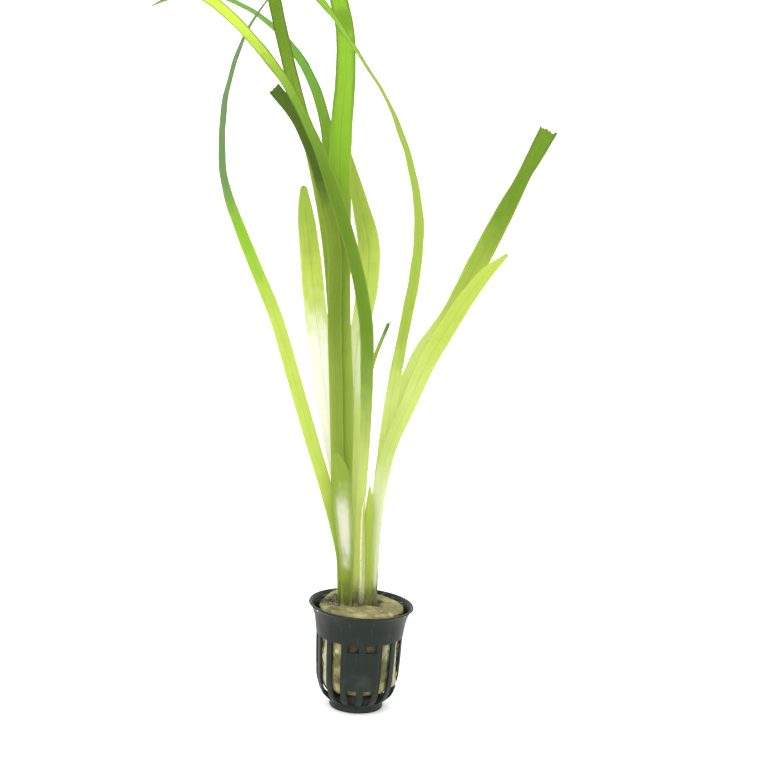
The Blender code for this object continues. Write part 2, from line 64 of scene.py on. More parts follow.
# Each leaf's route from its crown to its tip: (x, y, z, width, turn)
LEAF_FOOT = 46.8
LEAF_ROUTES = {
    "front_arching_leaf": [
        (-4.4, -0.05, LEAF_FOOT, 4.6, 0), (-3.9, -0.4, 75, 4.6, 0), (-3.2, -1.1, 103, 4.6, 0),
        (-2.8, -2.2, 133, 5.0, 0), (-3.5, -3.2, 162, 6.0, 0), (-5.0, -4.2, 187, 6.6, 10),
        (-11.8, -6.5, 218, 6.8, 22), (-22.4, -11, 249, 7.0, 26), (-32.5, -16, 274, 6.8, 42),
        (-48, -22, 302, 6.6, 43), (-62, -26.5, 319, 6.6, 38), (-81, -30, 336, 6.6, 34),
        (-100, -34, 345, 6.4, 33), (-120, -38, 348, 5.2, 33), (-140, -42, 343, 1.0, 33),
    ],
    "cut_dark_leaf": [
        (-9.2, 2.25, LEAF_FOOT, 4.6, 0), (-11.4, 2.1, 78, 5.2, 0), (-14.4, 1.7, 108, 6.0, 0),
        (-17.4, 1.1, 149, 6.4, 0), (-20.2, 0.6, 189, 6.6, 0), (-22.5, -0.6, 226, 6.6, 0),
        (-28.2, -2.5, 250, 6.4, 8), (-34.8, -4.0, 269, 6.2, 12), (-42.4, -5.5, 284, 6.4, 15),
        (-53.0, -7.0, 296.4, 6.6, 15),
    ],
    "upright_leaf": [
        (-8.7, 4.55, LEAF_FOOT, 4.8, 0), (-11.2, 4.5, 78, 5.4, 0), (-14.0, 4.6, 110, 5.8, 0),
        (-17.0, 5.0, 150, 6.2, 0), (-21.2, 5.8, 197, 6.4, 0), (-25.6, 6.5, 228, 6.4, 0),
        (-31.2, 7.5, 253, 6.4, 0), (-36.8, 8.0, 273, 6.2, 5), (-43.4, 8.5, 293, 6.2, 8),
        (-50.0, 8.5, 315, 6.2, 8), (-55.5, 8.2, 336, 6.2, 6), (-60.2, 7.0, 360, 5.6, 0),
        (-62.8, 5.5, 379, 4.2, -8), (-64.4, 4.0, 396, 0.9, -14),
    ],
    "back_arching_leaf": [
        (-7.6, 5.7, LEAF_FOOT, 4.6, 0), (-10.4, 5.8, 78, 5.2, 0), (-13.2, 6.2, 115, 5.8, 0),
        (-15.6, 7.0, 150, 6.4, 0), (-17.7, 8.3, 185, 6.6, 0), (-20.6, 10.2, 222, 6.6, 0),
        (-26.0, 13.5, 262, 6.4, 12), (-31.9, 18.0, 287.2, 6.2, 31), (-41.8, 24.0, 306.4, 6.2, 44),
        (-55.7, 30.0, 321, 6.2, 56), (-67.6, 34.0, 328.7, 6.0, 62), (-80, 37.5, 333.4, 5.8, 62),
        (-93, 41, 334.7, 5.2, 60), (-105, 44.5, 332.4, 4.0, 58), (-116, 47, 327, 0.9, 54),
    ],
    "broad_upright_leaf": [
        (-6.9, 3.4, LEAF_FOOT, 6.4, 0), (-9.3, 3.3, 78, 7.4, 0), (-12.4, 3.1, 110, 9.2, 0),
        (-14.4, 2.9, 146, 10.8, 0), (-18.2, 2.7, 192, 10.8, 0), (-20.6, 2.5, 240, 11.0, 0),
        (-21.6, 2.3, 278, 10.2, 0), (-21.0, 2.1, 306, 9.2, 0), (-22.4, 1.8, 325, 8.6, 5),
        (-26.0, 1.5, 338.5, 8.2, 10), (-31.0, 1.0, 355, 7.8, 14), (-37.6, 0.0, 372, 7.0, 18),
        (-45.0, -1.5, 388, 5.0, 20), (-51.8, -3.0, 400, 0.9, 20),
    ],
    "looping_leaf": [
        (3.3, 3.4, LEAF_FOOT, 4.8, 0), (3.7, 3.4, 80, 5.0, 0), (4.9, 3.3, 106, 5.6, 0),
        (6.8, 2.8, 131, 6.2, 4), (9.1, 0.6, 157, 6.6, 24), (12.3, -4.8, 184, 6.6, 37),
        (16.0, -11.0, 213, 6.6, 41), (17.0, -16.0, 232, 6.6, 44), (15.5, -20.6, 249, 6.6, 50),
        (8.6, -26.0, 274.8, 6.4, 62), (-0.1, -29.2, 294.6, 6.2, 70), (-9.3, -30.2, 308.6, 6.2, 73),
        (-19.6, -29.6, 322.5, 6.2, 68), (-33.0, -28.0, 339, 6.4, 57), (-47.0, -26.0, 350, 6.2, 46),
        (-63.0, -23.5, 356, 5.4, 43), (-80.0, -21.5, 357, 0.9, 42),
    ],
    "far_left_leaf": [
        (-9.5, 1.1, LEAF_FOOT, 4.2, 0), (-11.3, 1.1, 74, 4.8, 0), (-14.6, 0.9, 88, 5.4, 0),
        (-19.6, 0.7, 105.5, 6.2, 0), (-28.0, 4.2, 129, 6.6, 0), (-37.8, 9.5, 156.5, 6.6, 0),
        (-47.7, 14.0, 184.5, 6.6, 8), (-64.6, 18.0, 220.9, 6.6, 26), (-75.6, 19.2, 248.9, 6.4, 46),
        (-77.8, 18.8, 271, 6.2, 55), (-76.3, 17.8, 291, 6.0, 62), (-71.4, 16.5, 311, 6.0, 70),
        (-63.5, 14.8, 328.4, 6.0, 78), (-53.4, 13.8, 341.5, 6.0, 81), (-42.3, 14.2, 350.5, 5.6, 82),
        (-31.0, 15.0, 354, 4.4, 80), (-20.0, 15.8, 354.5, 0.9, 78),
    ],
    "short_blunt_leaf": [
        (-7.0, 8.0, LEAF_FOOT, 4.6, 0), (-9.3, 8.6, 78, 5.2, 0), (-14.6, 9.8, 108, 6.6, 0),
        (-20.0, 11.0, 135, 8.8, 0), (-25.0, 12.2, 163, 10.0, 0), (-29.8, 14.2, 191, 10.6, 0),
        (-34.0, 17.8, 219, 9.6, 0), (-37.2, 21.2, 238, 7.0, 0), (-38.6, 23.0, 248.5, 3.0, 0),
    ],
    "pale_broad_leaf": [
        (-6.6, 6.85, LEAF_FOOT, 5.2, 0), (-7.2, 7.2, 78, 5.6, 0), (-8.2, 8.1, 112, 6.6, 0),
        (-9.1, 9.1, 147, 7.2, 0), (-9.0, 10.2, 176, 8.0, 0), (-5.8, 11.7, 204, 10.4, 0),
        (-6.4, 13.3, 225, 10.4, 0), (-11.4, 15.0, 243, 7.6, 0), (-18.2, 17.2, 268, 1.2, 0),
    ],
    "broken_leaf_stalk": [
        (-3.6, 4.55, LEAF_FOOT, 2.0, 0), (-3.5, 4.6, 78, 2.0, 0), (-3.6, 5.2, 112, 2.0, 0),
        (-3.0, 7.0, 148, 2.0, 0), (-1.1, 8.6, 167.2, 2.0, 0), (5.3, 11.0, 186.8, 1.8, 0),
    ],
    "cut_right_leaf": [
        (4.1, 4.55, LEAF_FOOT, 5.0, 0), (4.3, 4.7, 76, 5.2, 0), (5.8, 5.4, 104, 6.0, 0),
        (8.6, 6.8, 127, 6.8, 0), (13.2, 9.2, 149, 7.6, 0), (21.6, 12.8, 172, 8.6, 0),
        (33.6, 16.2, 190, 9.4, 0), (46.6, 19.8, 218, 9.8, 0), (57.6, 22.4, 242, 9.2, -12),
        (64.4, 23.6, 257, 8.4, -30), (69.8, 24.4, 268.5, 8.6, -22), (75.4, 25.0, 280.6, 9.4, -16),
    ],
    "pointed_right_leaf": [
        (3.7, 2.25, LEAF_FOOT, 5.0, 0), (3.8, 2.2, 74, 5.2, 0), (4.3, 1.6, 97, 5.6, 0),
        (6.6, -0.5, 118, 6.2, 0), (11.0, -2.4, 136, 7.0, 0), (16.6, -4.0, 151, 7.6, 0),
        (24.0, -7.0, 172, 8.4, 0), (32.6, -10.8, 190, 8.4, 0), (41.6, -14.8, 207, 7.4, 0),
        (50.0, -18.0, 219.5, 5.4, 0), (58.0, -20.2, 228, 1.6, 0),
    ],
    "short_front_leaf": [
        (-7.4, -1.2, LEAF_FOOT, 5.2, 0), (-8.2, -1.5, 66, 5.8, 0), (-9.6, -2.2, 82, 7.4, 0),
        (-11.9, -3.3, 102, 9.4, 0), (-13.6, -4.0, 115, 8.8, 0), (-15.2, -4.4, 123, 5.0, 0),
        (-15.9, -4.6, 126, 1.4, 0),
    ],
    "olive_leaf_tip": [
        (2.9, 1.1, LEAF_FOOT, 3.6, 0), (2.3, 0.8, 68, 3.6, 0), (1.5, 0.1, 86, 3.9, 0),
        (1.1, -0.9, 101, 3.6, 0), (0.7, -1.3, 110, 0.9, 0),
    ],
    "pale_middle_sheath": [
        (-0.35, 2.6, LEAF_FOOT, 2.6, 0), (-0.3, 2.7, 66, 3.2, 0), (-0.2, 2.9, 86, 3.2, 0),
        (0.0, 3.0, 103, 0.9, 0),
    ],
    "yellow_side_sheath": [
        (5.3, 5.7, LEAF_FOOT, 3.2, 0), (5.3, 5.9, 62, 3.6, 0), (5.4, 6.6, 80, 3.4, 0),
        (5.7, 7.4, 97, 0.9, 0),
    ],
}
# The torn fibres at the end of the broken stalk, each a line of points
BROKEN_HAIRS = [
    [(5.0, 11.0, 186.2), (7.3, 11.2, 188.0), (10.0, 11.5, 190.0)],
    [(5.3, 11.0, 186.4), (6.6, 11.1, 188.6), (7.2, 11.3, 190.4)],
    [(4.9, 11.0, 186.6), (5.3, 11.1, 188.2), (5.2, 11.2, 189.4)],
]
# The dried strand, as a leaf's route
STRAND_ROUTE = [
    (-0.9, -3.2, 53.0, 0.9, 0), (-1.4, -3.2, 66, 0.9, 0), (-2.1, -3.4, 87, 1.0, 0),
    (-2.0, -3.8, 101, 1.0, 0), (-1.2, -4.0, 105.6, 0.7, 0),
]


class Mark(NamedTuple):
    """A mark on a blade: brown for a blemish, deep green for painted shade; millimetres from the foot,
    share of the width, its size and its colour.
    """

    along: float
    across: float
    size: float
    colour: str


class Look(NamedTuple):
    """How a leaf is coloured: its slot's name, then (from, to, colour) in millimetres from its foot."""

    slot: str
    changes: tuple
    veins: int = 5
    cells: float = 0.3
    marks: tuple = ()
    edge: str = "pale_green"


# The mid green stages are painted shade: the darker green of blades where they overlap others.
LEAF_LOOKS = {
    "front_arching_leaf": Look("leaf_bright_green", (
        (3, 20, "pale_green"), (64, 140, "mid_green"), (212, 256, "grass_green"),
        # The deep green mark near the tip is a painted shadow of a crossing blade.
        (250, 304, "lime_green")), marks=(Mark(324, 0.4, 7.0, "deep_green"),)),
    # The cut dark leaf's deep green upper part is painted shade.
    "cut_dark_leaf": Look("leaf_dark_green", (
        (3, 18, "pale_green"), (60, 84, "soft_green"), (112, 150, "leaf_green"),
        (190, 212, "deep_green"))),
    "upright_leaf": Look("leaf_mid_green", (
        (3, 20, "cream_white"), (52, 74, "soft_green"), (118, 150, "leaf_green"),
        (236, 282, "mid_green"))),
    "back_arching_leaf": Look("leaf_mid_green", (
        (3, 20, "cream_white"), (52, 74, "soft_green"), (150, 210, "grass_green"),
        (226, 262, "emerald_green"))),
    "broad_upright_leaf": Look("leaf_bright_green", (
        (3, 20, "cream_white"), (52, 74, "soft_green"), (120, 160, "leaf_green"),
        (178, 228, "fresh_green")), veins=7,
        # The brown mark is a bruise; the deep green one at 282 mm is a painted shadow where the looping
        # leaf crosses in front.
        marks=(Mark(182, 0.02, 0.7, "spot_brown"), Mark(282, 0.4, 6.0, "deep_green"))),
    "looping_leaf": Look("leaf_soft_green", (
        (3, 20, "cream_white"), (52, 86, "pale_green"), (102, 140, "soft_green"),
        (262, 292, "fresh_green"))),
    "far_left_leaf": Look("leaf_bright_green", (
        (3, 20, "soft_green"), (46, 72, "spring_green"), (138, 190, "fresh_green"),
        (188, 222, "blue_green")), marks=(Mark(214, 0.05, 0.8, "deep_green"),)),
    "short_blunt_leaf": Look("leaf_soft_green", (
        (3, 20, "cream_white"), (58, 84, "milk_white"), (124, 160, "spring_green"),
        (158, 192, "soft_green")), veins=9, marks=(Mark(205.4, 0.5, 1.1, "spot_brown"),)),
    "pale_broad_leaf": Look("leaf_pale_green", (
        (3, 20, "pale_green"), (88, 116, "cream_white"), (124, 160, "spring_green"),
        (160, 192, "soft_green")), veins=9),
    "broken_leaf_stalk": Look("leaf_soft_green", (
        (3, 20, "pale_green"), (80, 104, "soft_green"), (122, 140, "blue_green")), veins=3),
    "cut_right_leaf": Look("leaf_mid_green", (
        (3, 20, "milk_white"), (56, 84, "pale_green"), (118, 170, "soft_green"),
        (168, 214, "mid_green")), veins=7),
    "pointed_right_leaf": Look("leaf_pale_green", (
        (3, 18, "cream_white"), (56, 84, "pale_green"), (108, 152, "spring_green")), veins=7),
    "short_front_leaf": Look("leaf_soft_green", (
        (3, 20, "soft_green"), (18, 36, "milk_white"), (44, 68, "soft_green")),
        veins=7, cells=0.7, edge="soft_green"),
    "olive_leaf_tip": Look("leaf_dark_green", ((3, 18, "spring_green"),)),
    "pale_middle_sheath": Look("sheath_cream", (
        (2, 12, "cream_white"), (36, 52, "spring_green")), veins=3, cells=0.7),
    "yellow_side_sheath": Look("sheath_cream", ((4, 26, "milk_white"),), veins=3, cells=0.7),
}
SHEATHS = ("olive_leaf_tip", "pale_middle_sheath", "yellow_side_sheath")
CUT_ENDS = ("cut_dark_leaf", "cut_right_leaf")

# The net pot, as (radius, height): the band's outer wall, a rib's outer line, and the foot
WALL = 1.0
RIM_TOP = 51.5
BAND_LINE = [
    (25.07, 51.38), (25.35, 51.1), (25.3, 50.75), (24.6, 50.2), (23.8, 48.9), (23.2, 47.6),
    (22.3, 45.0), (21.9, 43.0), (21.6, 41.0), (21.3, 39.0), (21.1, 37.6), (20.98, 36.7),
]
RIB_LINE = [
    (21.15, 38.4), (20.95, 36.4), (20.8, 32.8), (20.5, 25.0), (20.2, 19.9), (19.5, 13.3),
    (19.1, 12.0), (18.5, 10.1), (17.3, 7.2), (15.5, 5.2), (14.2, 4.2), (12.9, 3.5),
]
FOOT_LINE = [
    (14.75, 4.6), (14.4, 4.2), (12.6, 3.6), (12.1, 3.2), (12.05, 2.8), (12.9, 0.9), (12.95, 0.5),
    (12.65, 0.05),
]
FOOT_FLOOR = [(11.6, 0.0), (10.9, 0.35), (10.2, 0.5)]
FOOT_INSIDE = [(10.9, 1.6), (12.9, 4.2), (13.9, 4.9)]
LIP = [(24.7, RIM_TOP), (24.3, 51.42)]
LIP_FROM = 50.9
BAND_BOTTOM = 36.4
BAND_EDGE = [(20.8, BAND_BOTTOM), (20.1, BAND_BOTTOM)]
BAND_STEP = 0.7
RIB_STEP = 0.8
FOOT_STEP = 0.35
SEGMENTS = 180

# The blank plate over two windows
PLATE_TOP = 32.8
PLATE_BOTTOM = 13.3
PLATE_RAISE = 0.5
PLATE_SOFT_EDGE = 0.35
PLATE_COLUMNS = 37
PLATE_ROWS = 25

# The ribs and windows; angles are in degrees from the front, positive to the right
RIBS = 15
PERIOD = 360.0 / RIBS
FIRST_WINDOW = -7.25
WINDOW_ANGLE = 15.0
FIRST_RIB = FIRST_WINDOW + PERIOD / 2
PLATE_ANGLES = (FIRST_WINDOW - PERIOD / 2, FIRST_WINDOW + 1.5 * PERIOD)
BROKEN_RIB = 3
RIB_BREAK_TOP = 19.9
RIB_BREAK_BOTTOM = 12.0

# The two holes through the rim, and the white beads in them, painted light for the light seen through
# the holes: (outwards, upwards) and radii
RIM_HOLES = (-56.0, 58.5)
RIM_HOLE_HEIGHT = 50.1
RIM_HOLE_MIDDLE = 24.05
RIM_HOLE_DEPTH = 6.0
RIM_HOLE_SIDES = 24
BEAD_SHIFT = (0.5, 0.3)
BEAD_RADII = (0.5, 0.34)

# At the rim's top a point drops by this share of its way to the right
RIM_LEAN = 0.025
LEAN_FROM = 41.0

# The rock wool, as (radius, height) from the middle of its underside to the middle of its top
WOOL_LINE = [
    (0.5, 9.6), (6.0, 9.5), (11.0, 9.3), (14.0, 9.6), (16.2, 10.8), (17.5, 13.3), (18.3, 16.6),
    (18.8, 25.0), (19.2, 35.0), (19.6, 44.0), (20.0, 48.6), (19.8, 50.4), (18.8, 51.1),
    (15.0, 51.2), (8.0, 51.1), (0.5, 51.0),
]

# Patches of another colour in the wool, some of them painted light and painted shade: (x, y, z, size,
# colour)
PATCH_STRENGTH = 0.75
WOOL_PATCHES = [
    # The cream columns on the left side are pale wool and painted light.
    (-15.8, -11.1, 34.0, 4.5, "cream"), (-15.8, -11.1, 27.0, 4.5, "cream"),
    (-15.6, -11.0, 20.0, 4.5, "cream"), (-15.0, -10.5, 14.0, 4.0, "cream"),
    (-10.3, -16.4, 32.0, 1.3, "cream"), (-9.9, -16.2, 27.0, 4.0, "olive"),
    (-9.4, -15.6, 12.5, 2.6, "straw"), (-9.9, -16.2, 18.0, 3.0, "olive"),
    # The cream columns on the right side are pale wool and painted light.
    (14.6, -12.6, 33.3, 3.4, "cream"), (14.5, -12.6, 28.3, 2.6, "cream"),
    (12.4, -14.2, 24.5, 4.4, "olive"), (12.0, -14.6, 20.0, 3.0, "olive"),
    (11.4, -14.0, 13.6, 3.0, "straw"), (17.4, -8.2, 34.0, 4.2, "cream"),
    (17.4, -8.2, 27.0, 4.2, "cream"), (17.4, -8.2, 20.0, 4.2, "cream"),
    # The umber patches at 35.6 mm are painted shade on the wool behind the small windows under the band.
    (18.6, -7.6, 14.5, 3.6, "cream"), (-2.4, -19.0, 35.6, 5.2, "umber"),
    (5.6, -18.4, 35.6, 5.2, "umber"), (15.6, -15.0, 51.5, 2.2, "cream"),
    # The umber patches on the top beside the stems are debris and painted shade in the hollow.
    (-15.5, 3.0, 49.5, 5.6, "umber"), (-10.5, -1.5, 50.0, 3.6, "umber"),
    (-15.0, 15.0, 52.5, 5.0, "cream"), (-12.0, 8.0, 50.0, 4.0, "umber"),
    (-17.5, -13.0, 51.0, 3.0, "straw"), (0.0, -19.5, 51.0, 4.0, "straw"),
    (14.0, 9.0, 50.5, 4.6, "straw"), (6.5, 0.5, 50.0, 4.4, "umber"),
    (-13.0, -13.5, 51.0, 4.0, "olive"),
]

# The stems where they leave the wool, and the crowns: (x, y, half width, half depth)
PLANT_MIDDLE = 0.3
LEFT_STEMS = (-6.6, 3.6, 6.4, 6.6)
RIGHT_STEMS = (3.6, 3.6, 4.4, 4.4)
CROWNS = {"left_crown": (-6.3, 3.4, 5.4, 5.4), "right_crown": (3.9, 3.4, 3.4, 2.7)}
CROWN_BOTTOM = 36.5
CROWN_TOP = 46.5

# The camera, solved from the photograph's view
CAMERA_PLACE = (3.5, -1147.0, 406.5)
CAMERA_PITCH = 12.08
CAMERA_ROLL = 3.19
CAMERA_LENS = 117.47
CAMERA_CLIP = (0.05, 20.0)
SENSOR = 36.0

# The stage, in metres
FLOOR_LEVEL = -0.0002
KEY_SIZE = 0.9
KEY_PLACE = (-0.75, -1.0, 1.15)
KEY_AIM = (0.0, 0.0, 0.15)


def seen(red, green, blue):
    """A colour as the eye sees it, from 0 to 255, as a setting's value."""
    return (red / 255.0, green / 255.0, blue / 255.0)


def linear(colour, power=2.2):
    """A setting's colour as the shader's linear values."""
    return tuple(part ** power for part in colour) + (1.0,)


def dimmed(colour, share):
    return tuple(part * share for part in colour[:3]) + (1.0,)


def length_setting(name, description, default):
    return FloatProperty(
        name=name, description=description, default=default, min=0.0, precision=5, unit="LENGTH")


def share_setting(name, description, default):
    return FloatProperty(
        name=name, description=description, default=default, min=0.0, max=1.0, subtype="FACTOR")


def colour_setting(name, description, default):
    return FloatVectorProperty(
        name=name, description=description, default=default, size=3, min=0.0, max=1.0,
        subtype="COLOR_GAMMA")


class LeafSettings(bpy.types.PropertyGroup):
    """Sizes and colours of the leaves."""

    blade_thickness: length_setting("Blade thickness", "Thickness of a blade at its middle", 0.00045)
    foot_thickness: length_setting("Foot thickness", "Thickness of a leaf's spongy foot", 0.0008)
    vein_depth: length_setting("Vein depth", "Depth of the grooves beside the veins", 0.00005)
    edge_ripple: length_setting("Edge ripple", "How far a blade's edges wave", 0.0002)
    tooth: length_setting("Torn tooth", "Height of the teeth of a cut end", 0.0008)
    light_through: share_setting("Light through", "Share of the light that passes a blade", 0.62)
    roughness: share_setting("Roughness", "Roughness of a blade's surface", 0.46)
    seed: IntProperty(name="Seed", description="Seed of every chance detail", default=7, min=0)
    foot_brown: colour_setting("Foot brown", "Where a leaf leaves the wool", seen(124, 121, 80))
    milk_white: colour_setting("Milk white", "Blade without any green", seen(255, 255, 236))
    cream_white: colour_setting("Cream white", "Bleached sheath", seen(240, 248, 196))
    pale_green: colour_setting("Pale green", "Pale lower blade", seen(216, 232, 134))
    spring_green: colour_setting("Spring green", "Yellow green blade", seen(200, 220, 100))
    soft_green: colour_setting("Soft green", "Soft green blade", seen(172, 196, 82))
    leaf_green: colour_setting("Leaf green", "Middle of the blade", seen(150, 177, 66))
    # Mid green is painted shade: the darker green where blades overlap.
    mid_green: colour_setting("Mid green", "Where blades overlap", seen(119, 154, 48))
    # Deep green also paints shade: the dark upper margins and the painted shadows of crossing blades.
    deep_green: colour_setting("Deep green", "The darkest blade and its veins", seen(88, 114, 44))
    grass_green: colour_setting("Grass green", "Upper blade", seen(138, 176, 60))
    fresh_green: colour_setting("Fresh green", "Upper blade against the light", seen(151, 199, 59))
    emerald_green: colour_setting("Emerald green", "Thin blade behind the others", seen(127, 182, 70))
    lime_green: colour_setting("Lime green", "The brightest blade", seen(224, 250, 90))
    blue_green: colour_setting("Blue green", "Thin upper blade", seen(116, 151, 92))
    spot_brown: colour_setting("Spot brown", "Bruises and dry tips", seen(92, 84, 50))
    straw: colour_setting("Straw", "The dried strand", seen(222, 220, 160))


class PotSettings(bpy.types.PropertyGroup):
    """Sizes and colours of the net pot."""

    rib_depth: length_setting("Rib depth", "Thickness of a rib, in and out", 0.0011)
    rib_round: length_setting("Rib rounding", "Rounding of a rib's corners", 0.0003)
    rim_hole: length_setting("Rim hole", "Radius of the two holes through the rim", 0.00055)
    plastic: colour_setting("Plastic", "Colour of the pot", seen(32, 38, 33))
    worn_plastic: colour_setting("Worn plastic", "Film of lime on the pot", seen(62, 69, 60))
    roughness: share_setting("Roughness", "Roughness of the plastic", 0.42)


class WoolSettings(bpy.types.PropertyGroup):
    """Sizes and colours of the rock wool and its fibres."""

    lump: length_setting("Lump height", "Height of the wool's lumps", 0.0009)
    fibre_length: length_setting("Fibre length", "Length of a loose fibre", 0.0026)
    fibre_radius: length_setting("Fibre radius", "Radius of a loose fibre", 0.00005)
    fibres: IntProperty(
        name="Fibres per square metre", description="How thickly loose fibres stand on the wool",
        default=900000, min=0)
    seed: IntProperty(name="Seed", description="Seed of the fibres", default=11, min=0)
    tan: colour_setting("Tan", "Main colour of the wool", seen(120, 115, 78))
    straw: colour_setting("Straw", "Dry, pale wool", seen(152, 146, 104))
    # Cream is also painted light on the wool's left and right sides.
    cream: colour_setting("Cream", "The palest, driest wool", seen(172, 174, 142))
    olive: colour_setting("Olive", "Damp wool", seen(84, 84, 58))
    # Umber is debris and painted shade: in the hollow by the stems, in the pits of the mat and on the
    # wool under the band.
    umber: colour_setting("Umber", "Dirt beside the stems", seen(52, 51, 36))
    fibre: colour_setting("Fibre", "Loose fibres", seen(176, 174, 146))


class StageSettings(bpy.types.PropertyGroup):
    """The floor, the light and the camera."""

    sky: FloatProperty(name="Sky", description="Strength of the white surroundings", default=1.85)
    key: FloatProperty(name="Key", description="Power of the soft key light", default=6.0, unit="POWER")
    floor_size: length_setting("Floor size", "Side of the floor", 6.0)
    floor: colour_setting("Floor", "Colour of the floor", seen(250, 250, 250))


class Amount:
    """A number that varies over a surface, used in sums as a plain number is."""

    def __init__(self, wiring, socket):
        self.wiring = wiring
        self.socket = socket

    def maths(self, operation, first, second=0.0, clamp=False):
        settings = {"operation": operation, "use_clamp": clamp}
        made = self.wiring.node("ShaderNodeMath", settings, {0: first, 1: second})
        return Amount(self.wiring, made.outputs[0])

    def __add__(self, other):
        return self.maths("ADD", self, other)

    def __sub__(self, other):
        return self.maths("SUBTRACT", self, other)

    def __mul__(self, other):
        return self.maths("MULTIPLY", self, other)

    def __truediv__(self, other):
        return self.maths("DIVIDE", self, other)

    def __pow__(self, other):
        return self.maths("POWER", self, other)

    def __rsub__(self, other):
        return self.maths("SUBTRACT", other, self)

    def __abs__(self):
        return self.maths("ABSOLUTE", self)

    __radd__ = __add__
    __rmul__ = __mul__

    def clamped(self):
        return self.maths("ADD", self, 0.0, clamp=True)

    def cosine(self):
        return self.maths("COSINE", self)

    def most(self, other):
        return self.maths("MAXIMUM", self, other)


class Wiring:
    """Adds nodes to one node tree and joins them."""

    def __init__(self, tree):
        self.tree = tree

    def node(self, kind, settings=None, inputs=None):
        """Add a node: its settings come first, then the values or links of its sockets."""
        made = self.tree.nodes.new(kind)
        for name, value in (settings or {}).items():
            if name == "stops":
                self.set_stops(made.color_ramp, value)
            else:
                setattr(made, name, value)
        for key, value in (inputs or {}).items():
            self.plug(made.inputs[key], value)
        return made

    def maths(self, operation, *values):
        made = self.node("ShaderNodeMath", {"operation": operation}, dict(enumerate(values)))
        return made.outputs[0]

    def send_out(self, shape, material):
        """Make a tree's copies real, dress them and send them out."""
        real = self.node("GeometryNodeRealizeInstances", inputs={0: shape})
        dressed = self.node("GeometryNodeSetMaterial", inputs={
            "Geometry": real.outputs[0], "Material": material})
        self.node("NodeGroupOutput", inputs={0: dressed.outputs[0]})

    def plug(self, socket, value):
        if isinstance(value, Amount):
            value = value.socket
        if isinstance(value, bpy.types.NodeSocket):
            self.tree.links.new(value, socket)
        else:
            socket.default_value = value

    @staticmethod
    def set_stops(ramp, stops):
        while len(ramp.elements) < len(stops):
            ramp.elements.new(1.0)
        for element, (place, colour) in zip(ramp.elements, stops):
            element.position = place
            element.color = colour


class Finish(Wiring):
    """A material in the making."""

    def __init__(self, name):
        self.material = bpy.data.materials.new(name)
        self.material.use_nodes = True
        super().__init__(self.material.node_tree)
        self.tree.nodes.clear()

    def place(self):
        """The place on the object, in metres."""
        return self.node("ShaderNodeTexCoord").outputs["Object"]

    def parts(self, vector):
        made = self.node("ShaderNodeSeparateXYZ", inputs={0: vector})
        return [Amount(self, output) for output in made.outputs]

    def vector(self, x, y, z=0.0):
        return self.node("ShaderNodeCombineXYZ", inputs={0: x, 1: y, 2: z}).outputs[0]

    def grain(self, vector, size, detail=2.0, roughness=0.5):
        """Soft noise from 0 to 1 whose lumps have about the given size."""
        made = self.node("ShaderNodeTexNoise", inputs={
            "Vector": vector, "Scale": 1.0 / size, "Detail": detail, "Roughness": roughness})
        return Amount(self, made.outputs[0])

    def rise(self, value, low, high):
        """0 below low, 1 above high and a smooth step between them."""
        made = self.node(
            "ShaderNodeMapRange", {"interpolation_type": "SMOOTHSTEP"},
            {"Value": value, "From Min": low, "From Max": high})
        return Amount(self, made.outputs[0])

    def ridges(self, value, count, sharpness):
        """Thin ridges, count of them while value goes from 0 to 1."""
        wave = (value * (2.0 * math.pi * count)).cosine() * 0.5 + 0.5
        return wave ** sharpness

    def blend(self, share, first, second):
        made = self.node("ShaderNodeMix", {"data_type": "RGBA"}, {0: share, 6: first, 7: second})
        return made.outputs[2]

    def mix(self, share, first, second):
        return self.node("ShaderNodeMixShader", inputs={0: share, 1: first, 2: second}).outputs[0]

    def bump(self, height, distance, strength=1.0):
        return self.node("ShaderNodeBump", inputs={
            "Height": height, "Distance": distance, "Strength": strength}).outputs[0]

    def principled(self, **inputs):
        named = {name.replace("_", " "): value for name, value in inputs.items()}
        return self.node("ShaderNodeBsdfPrincipled", inputs=named).outputs[0]

    def light_through(self, colour):
        return self.node("ShaderNodeBsdfTranslucent", inputs={"Color": colour}).outputs[0]

    def finish(self, surface):
        output = self.node("ShaderNodeOutputMaterial")
        self.plug(output.inputs["Surface"], surface)
        return self.material


class Route:
    """The smooth curve through a leaf's route points, with its width and turn."""

    def __init__(self, points):
        self.points = np.array(points, dtype=float)
        lengths = np.linalg.norm(np.diff(self.points[:, :3], axis=0), axis=1)
        self.along = np.concatenate(([0.0], np.cumsum(lengths)))
        self.slopes = np.gradient(self.points, self.along, axis=0)
        self.length = float(self.along[-1])

    def at(self, distances):
        """Rows of x, y, z, width and turn at distances from the foot."""
        first = np.searchsorted(self.along, distances, side="right") - 1
        first = np.clip(first, 0, len(self.along) - 2)
        span = (self.along[first + 1] - self.along[first])[:, None]
        t = (distances[:, None] - self.along[first][:, None]) / span
        start = (2 * t ** 3 - 3 * t ** 2 + 1) * self.points[first]
        start_slope = (t ** 3 - 2 * t ** 2 + t) * span * self.slopes[first]
        end = (3 * t ** 2 - 2 * t ** 3) * self.points[first + 1]
        end_slope = (t ** 3 - t ** 2) * span * self.slopes[first + 1]
        return start + start_slope + end + end_slope


def unit(vectors):
    return vectors / np.linalg.norm(vectors, axis=-1, keepdims=True)


def smooth_step(value, low, high):
    t = np.clip((value - low) / (high - low), 0.0, 1.0)
    return t * t * (3.0 - 2.0 * t)


def waver(rng, values, wavelengths):
    """A sum of a few seeded waves, from about -1 to 1."""
    total = np.zeros_like(values)
    for wavelength in wavelengths:
        total += np.sin(values / wavelength * 2.0 * math.pi + rng.uniform(0.0, 2.0 * math.pi))
    return total / len(wavelengths)


